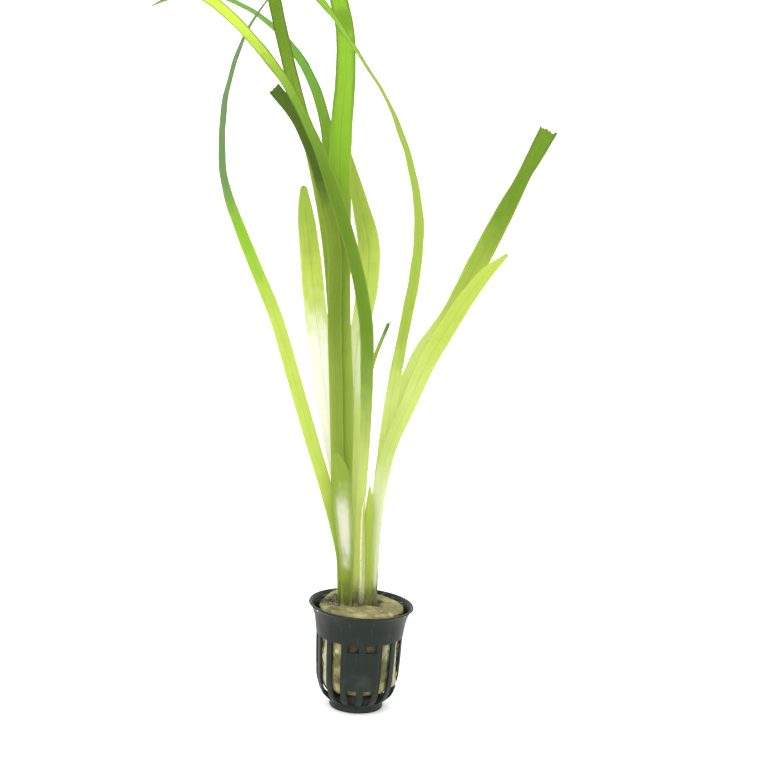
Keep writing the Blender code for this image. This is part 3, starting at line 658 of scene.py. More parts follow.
def mesh_from(name, points, faces, material, sharp=40.0):
    """Make a mesh from points in millimetres, with its faces pointing outwards."""
    mesh = bpy.data.meshes.new(name)
    mesh.from_pydata([tuple(point) for point in np.asarray(points) * MM], [], faces)
    shape = bmesh.new()
    shape.from_mesh(mesh)
    bmesh.ops.recalc_face_normals(shape, faces=shape.faces)
    shape.to_mesh(mesh)
    shape.free()
    mesh.materials.append(material)
    mesh.shade_smooth()
    mesh.set_sharp_from_angle(angle=math.radians(sharp))
    return mesh


def ring_faces(rings, count):
    """Faces between rings of count points, each joined to the next one."""
    faces = []
    for low in range(0, (rings - 1) * count, count):
        high = low + count
        for number in range(count):
            after = (number + 1) % count
            faces.append((low + number, low + after, high + after, high + number))
    return faces


def add_object(name, mesh):
    made = bpy.data.objects.new(name, mesh)
    bpy.context.scene.collection.objects.link(made)
    return made


def settle(piece, slot, *replaced):
    """Let a piece ride on the plant's only body and stand for CAD nodes; its slot is not used."""
    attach(piece, BODY)
    if replaced:
        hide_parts(*replaced)
    return piece


def as_plain_mesh(made):
    """Turn an object with modifiers into one with a plain mesh, and return it."""
    bpy.context.view_layer.update()
    graph = bpy.context.evaluated_depsgraph_get()
    mesh = bpy.data.meshes.new_from_object(made.evaluated_get(graph), depsgraph=graph)
    if not mesh.polygons:
        raise RuntimeError("%s came out empty" % made.name)
    made.modifiers.clear()
    made.data = mesh
    return made


# Leaves

LEAF_MAP = "blade"
BLADE_STEP = 1.6
BLADE_COLUMNS = 16
TIP_STEPS = 7
LEAST_WIDTH = 0.6
LEAST_TIP = 0.45
HALF_EDGE = 0.03
CAMBER = 0.022
TORN_LENGTH = 4.0
HAIR_RADIUS = 0.22
HAIR_SIDES = 5
STRAND_THICKNESS = 0.4
STRAND_RIPPLE = 0.1
STRAND_VEIN_DEPTH = 0.02

# Each kind of blade draws its chances from its own seeds
SHEATH_SEED = 50
STRAND_SEED = 90

# Places along a leaf in millimetres from its foot: (from, to)
FREE_BLADE = (60.0, 120.0)
THINNING = (20.0, 110.0)
SHADED = (40.0, 120.0)
CELLS_END = (70.0, 110.0)
UPPER_LEAF = (205.0, 262.0)

# How a blade takes its colours
GREEN_SHARE = 0.72
PLAIN_EDGE_SHARE = 0.25
GREEN_EDGE_SHARE = 0.85
# How strongly a deep green mark paints shade on a blade
SHADOW_MARK_SHARE = 0.4
LEAF_COLOURS = (
    "foot_brown", "milk_white", "cream_white", "pale_green", "spring_green", "soft_green",
    "leaf_green", "mid_green", "deep_green", "grass_green", "fresh_green", "emerald_green",
    "lime_green", "blue_green", "spot_brown")


def blade_distances(length, tip):
    """Where a blade's rows are: even steps, then closer ones round its tip."""
    body = np.linspace(0.0, length - tip, max(6, round((length - tip) / BLADE_STEP)))
    if tip <= 0.0:
        return body
    angles = np.linspace(0.0, math.pi / 2, TIP_STEPS + 1)[1:]
    return np.concatenate((body, length - tip + tip * np.sin(angles)))


def blade_mesh(name, points, material, thickness, ripple, vein_depth, veins, tooth, rng):
    """Make a closed thin blade along a route, with veins, waving edges and a tip of its kind."""
    route = Route(points)
    end_width = route.points[-1][3]
    tip = 0.0 if tooth else max(LEAST_TIP, 0.5 * end_width)
    distances = blade_distances(route.length, tip)
    rows = route.at(distances)
    rows[:, 0] += PLANT_MIDDLE
    rest = route.length - distances
    half = np.maximum(rows[:, 3], LEAST_WIDTH) / 2
    if tip:
        half = half * np.sqrt(np.clip(1.0 - (1.0 - np.minimum(rest / tip, 1.0)) ** 2, 0.004, 1.0))
    along = unit(np.gradient(rows[:, :3], axis=0))
    front = np.array([0.0, -1.0, 0.0])
    front = unit(front - along * (along @ front)[:, None])
    right = np.cross(along, front)
    turn = np.radians(rows[:, 4])[:, None]
    across = right * np.cos(turn) + front * np.sin(turn)
    out = front * np.cos(turn) - right * np.sin(turn)

    share = np.linspace(-1.0, 1.0, BLADE_COLUMNS + 1)
    free = smooth_step(distances, *FREE_BLADE)[:, None]
    wave = waver(rng, distances, (23.0, 41.0, 67.0))[:, None] * share ** 3
    wave = wave + waver(rng, distances, (17.0, 31.0))[:, None] * np.abs(share) ** 3
    camber = CAMBER * rows[:, 3][:, None] * (share ** 2 - 0.4)
    middle = (wave * ripple + camber) * free
    deep = thickness(distances)[:, None] / 2 * (1.0 - np.abs(share) ** 2.6) ** 0.8
    ridges = 0.5 + 0.5 * np.cos(share * math.pi * (veins + 1))
    deep = np.maximum(deep - vein_depth * (1.0 - ridges) * (np.abs(share) < 0.95), 0.0)
    deep = deep * np.minimum(half, 1.0)[:, None] + HALF_EDGE * (np.abs(share) < 1.0)
    side = half[:, None] * share * (1.0 + 0.012 * waver(rng, distances, (9.0, 15.0)))[:, None]

    base = rows[:, None, :3] + across[:, None, :] * side[:, :, None]
    if tooth:
        edge = rng.uniform(-0.4, 1.0, BLADE_COLUMNS + 1) * tooth
        edge[-3:] += tooth
        pull = smooth_step(distances, route.length - TORN_LENGTH, route.length)[:, None] * edge
        base = base + along[:, None, :] * pull[:, :, None]
    face = base + out[:, None, :] * (middle + deep)[:, :, None]
    back = base + out[:, None, :] * (middle - deep)[:, :, None]
    rings = np.concatenate((face, back[:, -2:0:-1]), axis=1)

    ring = rings.shape[1]
    faces = ring_faces(len(rows), ring)
    for start in (0, (len(rows) - 1) * ring):
        for number in range(BLADE_COLUMNS):
            corners = [number, number + 1, (ring - number - 1) % ring, (ring - number) % ring]
            unique = list(dict.fromkeys(start + corner for corner in corners))
            faces.append(tuple(unique))
    mesh = mesh_from(name, rings.reshape(-1, 3), faces, material, sharp=55.0)

    columns = np.concatenate((np.arange(BLADE_COLUMNS + 1), np.arange(BLADE_COLUMNS - 1, 0, -1)))
    u = np.tile(columns / BLADE_COLUMNS, len(rows))
    v = np.repeat(distances / route.length, ring)
    corners = np.empty(len(mesh.loops), dtype=int)
    mesh.loops.foreach_get("vertex_index", corners)
    layer = mesh.uv_layers.new(name=LEAF_MAP)
    layer.uv.foreach_set("vector", np.stack((u, v), axis=1)[corners].astype(np.float32).ravel())
    return mesh


def leaf_finish(name, look, route, settings):
    """A green blade that lets light through: colour changes along it, veins, cells and bruises, with
    painted shade in deep green on the upper margins and at painted shadows.
    """
    finish = Finish(name + "_green")
    length = route.length
    width = float(np.median(route.points[:, 3]))
    flat = finish.node("ShaderNodeUVMap", {"uv_map": LEAF_MAP}).outputs[0]
    across, along, _ = finish.parts(flat)
    along = along * length
    streaks = finish.grain(finish.vector(across * width, along * 0.04), 0.55, 3.0, 0.6)
    clouds = finish.grain(finish.place(), 0.006, 2.0)
    from_middle = abs(across - 0.5)
    midrib = 1.0 - finish.rise(from_middle, 0.012, 0.06)
    vein_lines = finish.ridges(across - 0.5, look.veins + 1, 7.0)
    rungs = finish.ridges((along + streaks * 1.5) / 2.6, 1, 14.0)
    low = 1.0 - finish.rise(along, *CELLS_END)
    cells = finish.ridges(across, 8, 3.0).most(finish.ridges(along / 1.5, 1, 4.0)) * low * look.cells
    veins = (vein_lines * 0.55 + midrib * 0.6 + rungs * 0.16 + cells * 0.6).clamped()
    shadow = (veins * 0.5 + (streaks - 0.5) * 0.9 + (clouds - 0.5) * 0.25).clamped()
    place = along + (streaks - 0.5) * 16.0 + (clouds - 0.5) * 20.0

    colours = {
        field: dimmed(linear(getattr(settings, field)), GREEN_SHARE) for field in LEAF_COLOURS}

    def shining(colour):
        """Light passes both faces of a blade, so each face takes the root of the colour."""
        glow = dimmed(linear(getattr(settings, colour), 1.1), math.sqrt(GREEN_SHARE))
        return finish.light_through(glow)

    body = colours["foot_brown"]
    light = shining("foot_brown")
    for start, end, colour in look.changes:
        share = finish.rise(place, start, end)
        body = finish.blend(share, body, colours[colour])
        light = finish.mix(share, light, shining(colour))
    shade = shadow * finish.rise(along, *SHADED)
    upper = finish.rise(along, *UPPER_LEAF)
    # Painted shade: the margins of the upper blade are darkened, standing for the dark outline that
    # light gives a blade's edges.
    rim = finish.rise(from_middle, 0.26, 0.5) * upper
    if look.edge == "pale_green":
        edge_share = PLAIN_EDGE_SHARE
        margin = finish.rise(from_middle, 0.36, 0.5)
    else:
        edge_share = GREEN_EDGE_SHARE
        margin = finish.rise(from_middle + (streaks - 0.5) * 0.2, 0.14, 0.46)
    pale_margin = margin * (1.0 - upper)
    # Painted shade in deep green: the streak shade, the dark upper margins and the deep green marks.
    dark = (shade * 0.35).most(rim * 0.62)
    bruises = []
    for mark in look.marks:
        beside = (across - mark.across) * (width / mark.size)
        far = ((along - mark.along) / mark.size) ** 2.0 + beside ** 2.0
        mark_share = 1.0 - finish.rise(far + (streaks - 0.5), 0.4, 1.6)
        # A deep green mark is painted shade; other marks are blemishes.
        if mark.colour == "deep_green":
            dark = dark.most(mark_share * SHADOW_MARK_SHARE)
        else:
            bruises.append((mark_share, colours[mark.colour]))
    # The painted shade also dims the light through the blade.
    light = finish.mix(dark, light, shining("deep_green"))
    light = finish.mix(pale_margin * edge_share, light, shining(look.edge))
    body = finish.blend(dark, body, colours["deep_green"])
    body = finish.blend(pale_margin * edge_share, body, colours[look.edge])
    through = (1.0 - shadow * 0.3 + pale_margin * 0.12) * settings.light_through
    for mark_share, colour in bruises:
        body = finish.blend(mark_share, body, colour)
        through = through * (1.0 - mark_share)
    height = veins * 0.7 + streaks * 0.5
    surface = finish.principled(
        Base_Color=body, Roughness=settings.roughness + (streaks - 0.5) * 0.2, Specular_IOR_Level=0.16,
        Normal=finish.bump(height, 0.00008, 0.7))
    return finish.finish(finish.mix(through, surface, light))


def grow_blade(name, settings, rng):
    """Make one leaf or sheath, dressed, in place of its CAD node."""
    look = LEAF_LOOKS[name]
    route = Route(LEAF_ROUTES[name])
    thick, thin = settings.foot_thickness / MM, settings.blade_thickness / MM

    def thickness(distances):
        return thick + (thin - thick) * smooth_step(distances, *THINNING)

    mesh = blade_mesh(
        name + "_blade", LEAF_ROUTES[name], leaf_finish(name, look, route, settings),
        thickness=thickness, ripple=settings.edge_ripple / MM, vein_depth=settings.vein_depth / MM,
        veins=look.veins, tooth=settings.tooth / MM if name in CUT_ENDS else 0.0, rng=rng)
    return settle(add_object(name + "_blade", mesh), look.slot, name)


def tapered_fibre(points):
    """Points and faces of a closed hair along a line of points, thin at its end."""
    line = np.array(points, dtype=float) + (PLANT_MIDDLE, 0.0, 0.0)
    along = unit(np.gradient(line, axis=0))
    beside = unit(np.cross(along, (0.3, 1.0, 0.2)))
    other = np.cross(along, beside)
    rings = []
    for number, middle in enumerate(line):
        size = HAIR_RADIUS * (1.0 - 0.85 * number / (len(line) - 1))
        for step in range(HAIR_SIDES):
            angle = 2.0 * math.pi * step / HAIR_SIDES
            outward = beside[number] * math.cos(angle) + other[number] * math.sin(angle)
            rings.append(middle + size * outward)
    ends = [tuple(range(HAIR_SIDES)), tuple(range(len(rings) - HAIR_SIDES, len(rings)))]
    return rings, ends + ring_faces(len(line), HAIR_SIDES)


def fray_stalk(settings):
    """Add the torn hairs at the end of the broken stalk."""
    finish = Finish("broken_stalk_hair")
    fine = finish.grain(finish.place(), 0.002, 2.0)
    body = finish.blend(fine, linear(settings.foot_brown), dimmed(linear(settings.blue_green), 0.6))
    material = finish.finish(finish.principled(Base_Color=body, Roughness=0.6, Specular_IOR_Level=0.1))
    points, faces = joined(*(tapered_fibre(line) for line in BROKEN_HAIRS))
    mesh = mesh_from("broken_leaf_stalk_hairs", points, faces, material)
    settle(add_object("broken_leaf_stalk_hairs", mesh), LEAF_LOOKS["broken_leaf_stalk"].slot)


class VALLISNERIA_OT_grow_leaves(bpy.types.Operator):
    """Grow the strap leaves of both tufts"""

    bl_idname = "vallisneria.grow_leaves"
    bl_label = "Grow Leaves"

    def execute(self, context):
        settings = context.scene.vallisneria_leaves
        for number, name in enumerate(LEAF_ROUTES):
            if name not in SHEATHS:
                grow_blade(name, settings, np.random.default_rng(settings.seed + number))
        fray_stalk(settings)
        return {"FINISHED"}


class VALLISNERIA_OT_wrap_sheaths(bpy.types.Operator):
    """Add the small young leaf and the pale sheaths between the stems"""

    bl_idname = "vallisneria.wrap_sheaths"
    bl_label = "Wrap Sheaths"

    def execute(self, context):
        settings = context.scene.vallisneria_leaves
        for number, name in enumerate(SHEATHS):
            rng = np.random.default_rng(settings.seed + SHEATH_SEED + number)
            grow_blade(name, settings, rng)
        return {"FINISHED"}


def strand_finish(settings):
    """A dried strand: pale straw between brown edges, with dark specks."""
    finish = Finish("dried_strand_straw")
    flat = finish.node("ShaderNodeUVMap", {"uv_map": LEAF_MAP}).outputs[0]
    across, along, _ = finish.parts(flat)
    specks = finish.grain(finish.place(), 0.0009, 3.0, 0.6)
    edge = finish.rise(abs(across - 0.5) + (specks - 0.5) * 0.3, 0.22, 0.42)
    upper = finish.rise(along, 0.55, 0.95)
    foot = 1.0 - finish.rise(along + (specks - 0.5) * 0.2, 0.02, 0.25)
    brown = (edge * upper * 0.7 + foot * 0.8 + finish.rise(specks, 0.62, 0.7) * 0.7).clamped()
    body = finish.blend(brown, linear(settings.straw), linear(settings.spot_brown))
    through = finish.light_through(linear(settings.straw))
    surface = finish.principled(
        Base_Color=body, Roughness=0.7, Specular_IOR_Level=0.1,
        Normal=finish.bump(specks, 0.0001, 0.8))
    return finish.finish(finish.mix((1.0 - brown) * 0.5, surface, through))


class VALLISNERIA_OT_hang_dried_strand(bpy.types.Operator):
    """Hang the dried strand in front of the stems"""

    bl_idname = "vallisneria.hang_dried_strand"
    bl_label = "Hang Dried Strand"

    def execute(self, context):
        settings = context.scene.vallisneria_leaves
        rng = np.random.default_rng(settings.seed + STRAND_SEED)
        mesh = blade_mesh(
            "dried_strand_curl", STRAND_ROUTE, strand_finish(settings),
            thickness=lambda distances: np.full_like(distances, STRAND_THICKNESS),
            ripple=STRAND_RIPPLE, vein_depth=STRAND_VEIN_DEPTH, veins=1, tooth=0.0, rng=rng)
        settle(add_object("dried_strand_curl", mesh), "dried_leaf", "dried_strand")
        return {"FINISHED"}


# Crowns

def crown_finish(settings):
    """Pale rootstock with brown scars in rings."""
    finish = Finish("crown_rootstock")
    place = finish.place()
    _x, _y, z = finish.parts(place)
    mottle = finish.grain(place, 0.002, 4.0, 0.6)
    rings = finish.ridges(z * 1000.0 / 1.3 + mottle * 0.6, 1, 5.0)
    scars = (rings * 0.6 + finish.rise(mottle, 0.5, 0.75) * 0.6).clamped()
    body = finish.blend(scars, linear(settings.pale_green), linear(settings.foot_brown))
    return finish.finish(finish.principled(
        Base_Color=body, Roughness=0.6, Specular_IOR_Level=0.2,
        Normal=finish.bump(mottle - rings * 0.5, 0.0003, 0.8)))


def crown_mesh(name, place, material):
    """Make a short rootstock, ringed by the scars of old leaves."""
    x, y, half_wide, half_deep = place
    x += PLANT_MIDDLE
    sides, levels = 40, 24
    points = []
    for level in range(levels + 1):
        share = level / levels
        height = CROWN_BOTTOM + share * (CROWN_TOP - CROWN_BOTTOM)
        swell = math.sin(math.pi * min(1.0, 0.12 + share * 0.55)) ** 0.6
        swell *= 1.0 + 0.03 * math.cos(share * 8.0 * 2.0 * math.pi)
        for step in range(sides):
            angle = 2.0 * math.pi * step / sides
            spot = Vector((math.cos(angle) * 2, math.sin(angle) * 2, height / 3))
            size = min(1.0, swell * (1.0 + 0.05 * noise.noise(spot)))
            across, back = half_wide * size * math.cos(angle), half_deep * size * math.sin(angle)
            points.append((x + across, y + back, height))
    faces = ring_faces(levels + 1, sides)
    faces.append(tuple(range(sides)))
    faces.append(tuple(range(levels * sides, (levels + 1) * sides)))
    return mesh_from(name, points, faces, material)


class VALLISNERIA_OT_set_crowns(bpy.types.Operator):
    """Set the two crowns in the rock wool"""

    bl_idname = "vallisneria.set_crowns"
    bl_label = "Set Crowns"

    def execute(self, context):
        material = crown_finish(context.scene.vallisneria_leaves)
        for name, place in CROWNS.items():
            mesh = crown_mesh(name + "_rootstock", place, material)
            settle(add_object(name + "_rootstock", mesh), "crown_tissue", name)
        return {"FINISHED"}


# Net pot

def on_circle(radius, degrees, height):
    """A point at an angle from the front, positive to the right."""
    angle = math.radians(degrees)
    return (radius * math.sin(angle), -radius * math.cos(angle), height)


def turned(outline, closed):
    """Points and faces of an outline of (radius, height) turned about the pot's axis."""
    points, faces = [], []
    count = len(outline)
    for step in range(SEGMENTS):
        for radius, height in outline:
            points.append(on_circle(radius, 360.0 * step / SEGMENTS, height))
    for step in range(SEGMENTS):
        near, far = step * count, (step + 1) % SEGMENTS * count
        for number in range(count if closed else count - 1):
            after = (number + 1) % count
            faces.append((near + number, near + after, far + after, far + number))
    if not closed:
        for number in (0, count - 1):
            middle = len(points)
            points.append((0.0, 0.0, outline[number][1]))
            for step in range(SEGMENTS):
                after = (step + 1) % SEGMENTS
                faces.append((step * count + number, after * count + number, middle))
    return points, faces


def finer(line, step):
    """Points of a smooth curve through (radius, height) points, about one step apart."""
    rows = Route([(radius, 0.0, height, 0.0, 0.0) for radius, height in line])
    distances = np.linspace(0.0, rows.length, max(2, round(rows.length / step) + 1))
    return [(row[0], row[2]) for row in rows.at(distances)]


def inset(line, wall):
    """The same line moved in by a wall's thickness."""
    points = np.array(line)
    along = unit(np.gradient(points, axis=0))
    return [(x - wall * -dz, z - wall * dx) for (x, z), (dx, dz) in zip(points, along)]


def joined(*parts):
    """Join several lists of points and faces into one."""
    points, faces = [], []
    for more_points, more_faces in parts:
        start = len(points)
        points.extend(more_points)
        faces.extend(tuple(start + corner for corner in face) for face in more_faces)
    return points, faces


def lean(point):
    """Tip the flared rim a little: higher on the left and lower on the right."""
    x, y, z = point
    share = max(0.0, (z - LEAN_FROM) / (RIM_TOP - LEAN_FROM))
    return (x, y, z - RIM_LEAN * share * x)


def band_shape():
    """The pot's band with its flared rim: a closed wall, rounded at the lip and below."""
    outer = finer(BAND_LINE, BAND_STEP)
    inner = [(x, z) for x, z in inset(outer, WALL) if z < LIP_FROM]
    points, faces = turned(outer + BAND_EDGE + inner[::-1] + LIP[::-1], closed=True)
    return [lean(point) for point in points], faces


def foot_shape():
    """The pot's foot: a shallow dish on a flared ring."""
    outer = finer(FOOT_LINE, FOOT_STEP)
    return turned(FOOT_FLOOR[::-1] + outer[::-1] + FOOT_INSIDE[::-1], closed=False)


def radius_at(height):
    """The outer radius of the basket at a height."""
    heights = [point[1] for point in RIB_LINE[::-1]]
    return float(np.interp(height, heights, [point[0] for point in RIB_LINE[::-1]]))


def plate_shape():
    """The blank plate over the front windows: a curved panel with soft edges."""
    start, end = PLATE_ANGLES
    angles = np.linspace(start, end, PLATE_COLUMNS)
    heights = np.linspace(PLATE_BOTTOM, PLATE_TOP, PLATE_ROWS)
    points, faces = [], []
    for outside in (True, False):
        for row, height in enumerate(heights):
            for column, degrees in enumerate(angles):
                rim = row in (0, len(heights) - 1) or column in (0, len(angles) - 1)
                rise = PLATE_RAISE - (PLATE_SOFT_EDGE if rim else 0.0) if outside else -WALL
                points.append(on_circle(radius_at(height) + rise, degrees, height))
    wide, layer = len(angles), len(angles) * len(heights)
    for level in (0, layer):
        for row in range(len(heights) - 1):
            for column in range(wide - 1):
                first = level + row * wide + column
                faces.append((first, first + 1, first + wide + 1, first + wide))
    for row in range(len(heights) - 1):
        for column in (0, wide - 1):
            first = row * wide + column
            faces.append((first, first + wide, first + wide + layer, first + layer))
    for column in range(wide - 1):
        for row in (0, len(heights) - 1):
            first = row * wide + column
            faces.append((first, first + 1, first + 1 + layer, first + layer))
    return points, faces


def pot_finish(settings):
    """Dark moulded plastic with a thin film of lime and fine scratches."""
    finish = Finish("net_pot_plastic")
    place = finish.place()
    x, y, z = finish.parts(place)
    film = finish.grain(place, 0.012, 4.0, 0.6)
    fine = finish.grain(place, 0.0005, 3.0, 0.6)
    runs = finish.grain(finish.vector(x, y, z * 0.12), 0.0022, 3.0, 0.6)
    low = 1.0 - finish.rise(z, 0.004, 0.02)
    worn = (finish.rise(film, 0.48, 0.72) * 0.35 + finish.rise(runs, 0.55, 0.75) * 0.3
            + finish.rise(fine, 0.6, 0.75) * 0.12 + low * 0.12).clamped()
    body = finish.blend(worn, linear(settings.plastic), linear(settings.worn_plastic))
    roughness = settings.roughness + worn * 0.3 + (fine - 0.5) * 0.1
    return finish.finish(finish.principled(
        Base_Color=body, Roughness=roughness, Specular_IOR_Level=0.13,
        Normal=finish.bump(fine + runs * 0.6, 0.00006, 0.6)))


def new_tree(name, inputs, output):
    """Start a node tree from its inputs, each a name and a kind, and its one output of geometry."""
    tree = bpy.data.node_groups.new(name, "GeometryNodeTree")
    for label, kind in inputs.items():
        tree.interface.new_socket(label, in_out="INPUT", socket_type="NodeSocket" + kind)
    tree.interface.new_socket(output, in_out="OUTPUT", socket_type="NodeSocketGeometry")
    return tree


def rib_tree():
    """Node tree that sets ribs round the pot's axis from one rib's line; one rib is broken."""
    tree = new_tree("Net pot ribs", {
        "Rib line": "Geometry", "Ribs": "Int", "First angle": "Float", "Width": "Float",
        "Depth": "Float", "Rounding": "Float", "Break start": "Float", "Break end": "Float",
        "Broken rib": "Int", "Plastic": "Material"}, "Ribs made")
    wires = Wiring(tree)
    given = wires.node("NodeGroupInput").outputs
    line = wires.node("GeometryNodeMeshToCurve", inputs={"Mesh": given["Rib line"]})
    place = wires.node("GeometryNodeInputPosition")
    flat = wires.node("ShaderNodeVectorMath", {"operation": "MULTIPLY"}, {
        0: place.outputs[0], 1: (1.0, 1.0, 0.0)})
    reach = wires.node("ShaderNodeVectorMath", {"operation": "LENGTH"}, {0: flat.outputs[0]})
    narrow = wires.maths("DIVIDE", reach.outputs["Value"], radius_at(BAND_BOTTOM) * MM)
    line = wires.node("GeometryNodeSetCurveRadius", inputs={
        "Curve": line.outputs[0], "Radius": narrow})
    box = wires.node("GeometryNodeCurvePrimitiveQuadrilateral", inputs={
        "Width": given["Width"], "Height": given["Depth"]})
    section = wires.node("GeometryNodeFilletCurve", {"mode": "POLY"}, {
        "Curve": box.outputs[0], "Count": 3, "Radius": given["Rounding"]})

    def swept(curve):
        return wires.node("GeometryNodeCurveToMesh", inputs={
            "Curve": curve, "Profile Curve": section.outputs[0], "Fill Caps": True}).outputs[0]

    upper = wires.node("GeometryNodeTrimCurve", inputs={
        "Curve": line.outputs[0], "Start": 0.0, "End": given["Break start"]})
    lower = wires.node("GeometryNodeTrimCurve", inputs={
        "Curve": line.outputs[0], "Start": given["Break end"], "End": 1.0})
    broken = wires.node("GeometryNodeJoinGeometry")
    for part in (upper, lower):
        wires.tree.links.new(swept(part.outputs[0]), broken.inputs[0])
    spots = wires.node("GeometryNodePoints", inputs={"Count": given["Ribs"]})
    number = wires.node("GeometryNodeInputIndex")
    period = wires.maths("DIVIDE", 2.0 * math.pi, given["Ribs"])
    angle = wires.maths("MULTIPLY_ADD", number.outputs[0], period, given["First angle"])
    turn = wires.node("ShaderNodeCombineXYZ", inputs={"Z": angle})
    together = wires.node("GeometryNodeJoinGeometry")
    for operation, shape in (("NOT_EQUAL", swept(line.outputs[0])), ("EQUAL", broken.outputs[0])):
        chosen = wires.node("FunctionNodeCompare", {"data_type": "INT", "operation": operation})
        wires.plug(chosen.inputs[2], number.outputs[0])
        wires.plug(chosen.inputs[3], given["Broken rib"])
        copies = wires.node("GeometryNodeInstanceOnPoints", inputs={
            "Points": spots.outputs[0], "Selection": chosen.outputs[0], "Instance": shape,
            "Rotation": turn.outputs[0]})
        wires.tree.links.new(copies.outputs[0], together.inputs[0])
    wires.send_out(together.outputs[0], given["Plastic"])
    return tree


def run_tree(made, tree, values):
    """Run a node tree on an object with its named inputs set, and leave a plain mesh."""
    modifier = made.modifiers.new(tree.name, "NODES")
    modifier.node_group = tree
    for item in tree.interface.items_tree:
        if item.in_out == "INPUT" and item.name in values:
            modifier[item.identifier] = values[item.name]
    return as_plain_mesh(made)


def make_ribs(settings, material):
    """Run the rib tree on the line of one rib."""
    middle = inset(finer(RIB_LINE, RIB_STEP), settings.rib_depth / MM / 2)
    line = bpy.data.meshes.new("rib_line")
    places = [Vector(on_circle(radius, 0.0, height)) * MM for radius, height in middle]
    line.from_pydata(places, [(n, n + 1) for n in range(len(places) - 1)], [])
    heights = np.array([height for _radius, height in middle])
    steps = np.linalg.norm(np.diff(np.array(middle), axis=0), axis=1)
    travelled = np.concatenate(([0.0], np.cumsum(steps))) / steps.sum()
    break_start, break_end = np.interp([-RIB_BREAK_TOP, -RIB_BREAK_BOTTOM], -heights, travelled)
    ribs = run_tree(add_object("net_pot_ribs", line), rib_tree(), {
        "Ribs": RIBS,
        "First angle": math.radians(FIRST_RIB),
        "Width": radius_at(BAND_BOTTOM) * MM * math.radians(PERIOD - WINDOW_ANGLE),
        "Depth": settings.rib_depth,
        "Rounding": settings.rib_round,
        "Break start": float(break_start),
        "Break end": float(break_end),
        "Broken rib": BROKEN_RIB,
        "Plastic": material,
    })
    ribs.data.shade_smooth()
    ribs.data.set_sharp_from_angle(angle=math.radians(50.0))
    return ribs


def drill_rim(pot, radius):
    """Cut the two small holes through the flared rim."""
    cutters = []
    for degrees in RIM_HOLES:
        shape = bmesh.new()
        bmesh.ops.create_cone(
            shape, cap_ends=True, segments=RIM_HOLE_SIDES, radius1=radius, radius2=radius,
            depth=RIM_HOLE_DEPTH * MM)
        turn = Matrix.Rotation(math.radians(degrees), 4, "Z") @ Matrix.Rotation(math.pi / 2, 4, "X")
        middle = lean(on_circle(RIM_HOLE_MIDDLE, degrees, RIM_HOLE_HEIGHT))
        place = Matrix.Translation(Vector(middle) * MM)
        bmesh.ops.transform(shape, matrix=place @ turn, verts=shape.verts)
        mesh = bpy.data.meshes.new("rim_hole")
        shape.to_mesh(mesh)
        shape.free()
        cutter = add_object("rim_hole", mesh)
        modifier = pot.modifiers.new("rim hole", "BOOLEAN")
        modifier.object = cutter
        cutters.append(cutter)
    as_plain_mesh(pot)
    for cutter in cutters:
        bpy.data.objects.remove(cutter, do_unlink=True)


class VALLISNERIA_OT_mould_net_pot(bpy.types.Operator):
    """Mould the net pot: band, foot, blank plate and ribs"""

    bl_idname = "vallisneria.mould_net_pot"
    bl_label = "Mould Net Pot"

    def execute(self, context):
        settings = context.scene.vallisneria_pot
        material = pot_finish(settings)
        points, faces = band_shape()
        band = add_object("net_pot_band", mesh_from("net_pot_band", points, faces, material))
        drill_rim(band, settings.rim_hole)
        settle(band, "pot_plastic", "net_pot")
        points, faces = joined(foot_shape(), plate_shape())
        mesh = mesh_from("net_pot_foot", points, faces, material)
        foot = add_object("net_pot_foot_and_plate", mesh)
        settle(foot, "pot_plastic")
        settle(make_ribs(settings, material), "pot_plastic")
        return {"FINISHED"}


# Rock wool

WOOL_STEP = 0.45
WOOL_COLUMNS = 240
FUZZ = "fuzz"
CAP_FUZZ = 0.2

# Where the wool swells: (degrees from the front, spread), and how far in millimetres
FRONT_SIDE = (-6.0, 52.0)
FRONT_BULGE = 2.7
FRONT_RISE = 0.5
BACK_SIDE = (-144.0, 40.0)
BACK_RISE = 2.8
WINDOW_BULGE = 0.35
TUFT_SIDE = (69.0, 7.0)
TUFT_LEVEL = (14.8, 2.4)
TUFT_BULGE = 2.2

# Heights between which the wool's parts begin or end
TOP_EDGE = (46.0, 50.2)
TOP_SIDE = (49.6, 50.8)
TOP_FACE = (50.2, 51.0)
UNDERSIDE = (9.8, 12.0)
WINDOWS_FROM = (11.0, 15.0)
WINDOWS_TO = (33.0, 37.0)
TOP_RADIUS = 19.8
TOP_MIDDLE = (16.5, 18.5)

# Noise of three sizes in millimetres, with its strength and where it starts
LUMP_NOISE = (
    (7.0, 0.9, (3.1, 0.4, 7.7)),
    (2.3, 0.5, (8.2, 5.1, 1.3)),
    (0.9, 0.22, (1.7, 9.4, 4.2)),
)

# The top sinks round the stems and in a hollow left of them: (x, y, half width, half depth)
STEM_SINK = 0.9
TOP_SINK = 0.5
FLAP_RISE = 0.7
HOLLOW = (-15.0, 4.0, 4.0, 6.0)
HOLLOW_DEPTH = 1.4


def near_stems(x, y):
    """1 at the stems, falling to 0 a few millimetres away from them."""
    closest = 9.0
    for middle_x, middle_y, half_wide, half_deep in (LEFT_STEMS, RIGHT_STEMS):
        away = math.hypot((x - PLANT_MIDDLE - middle_x) / half_wide, (y - middle_y) / half_deep)
        closest = min(closest, away)
    return 1.0 - float(smooth_step(closest, 0.75, 1.5))


def angle_from(degrees, middle):
    """How far an angle is from a middle one, from -180 to 180 degrees."""
    return (degrees - middle + 180.0) % 360.0 - 180.0


def bell(away, spread):
    """1 in the middle, falling to 0 on both sides."""
    return math.exp(-(away / spread) ** 2)


def on_plate(degrees):
    """Whether an angle from the front lies behind the plate."""
    return PLATE_ANGLES[0] < angle_from(degrees, 0.0) < PLATE_ANGLES[1]


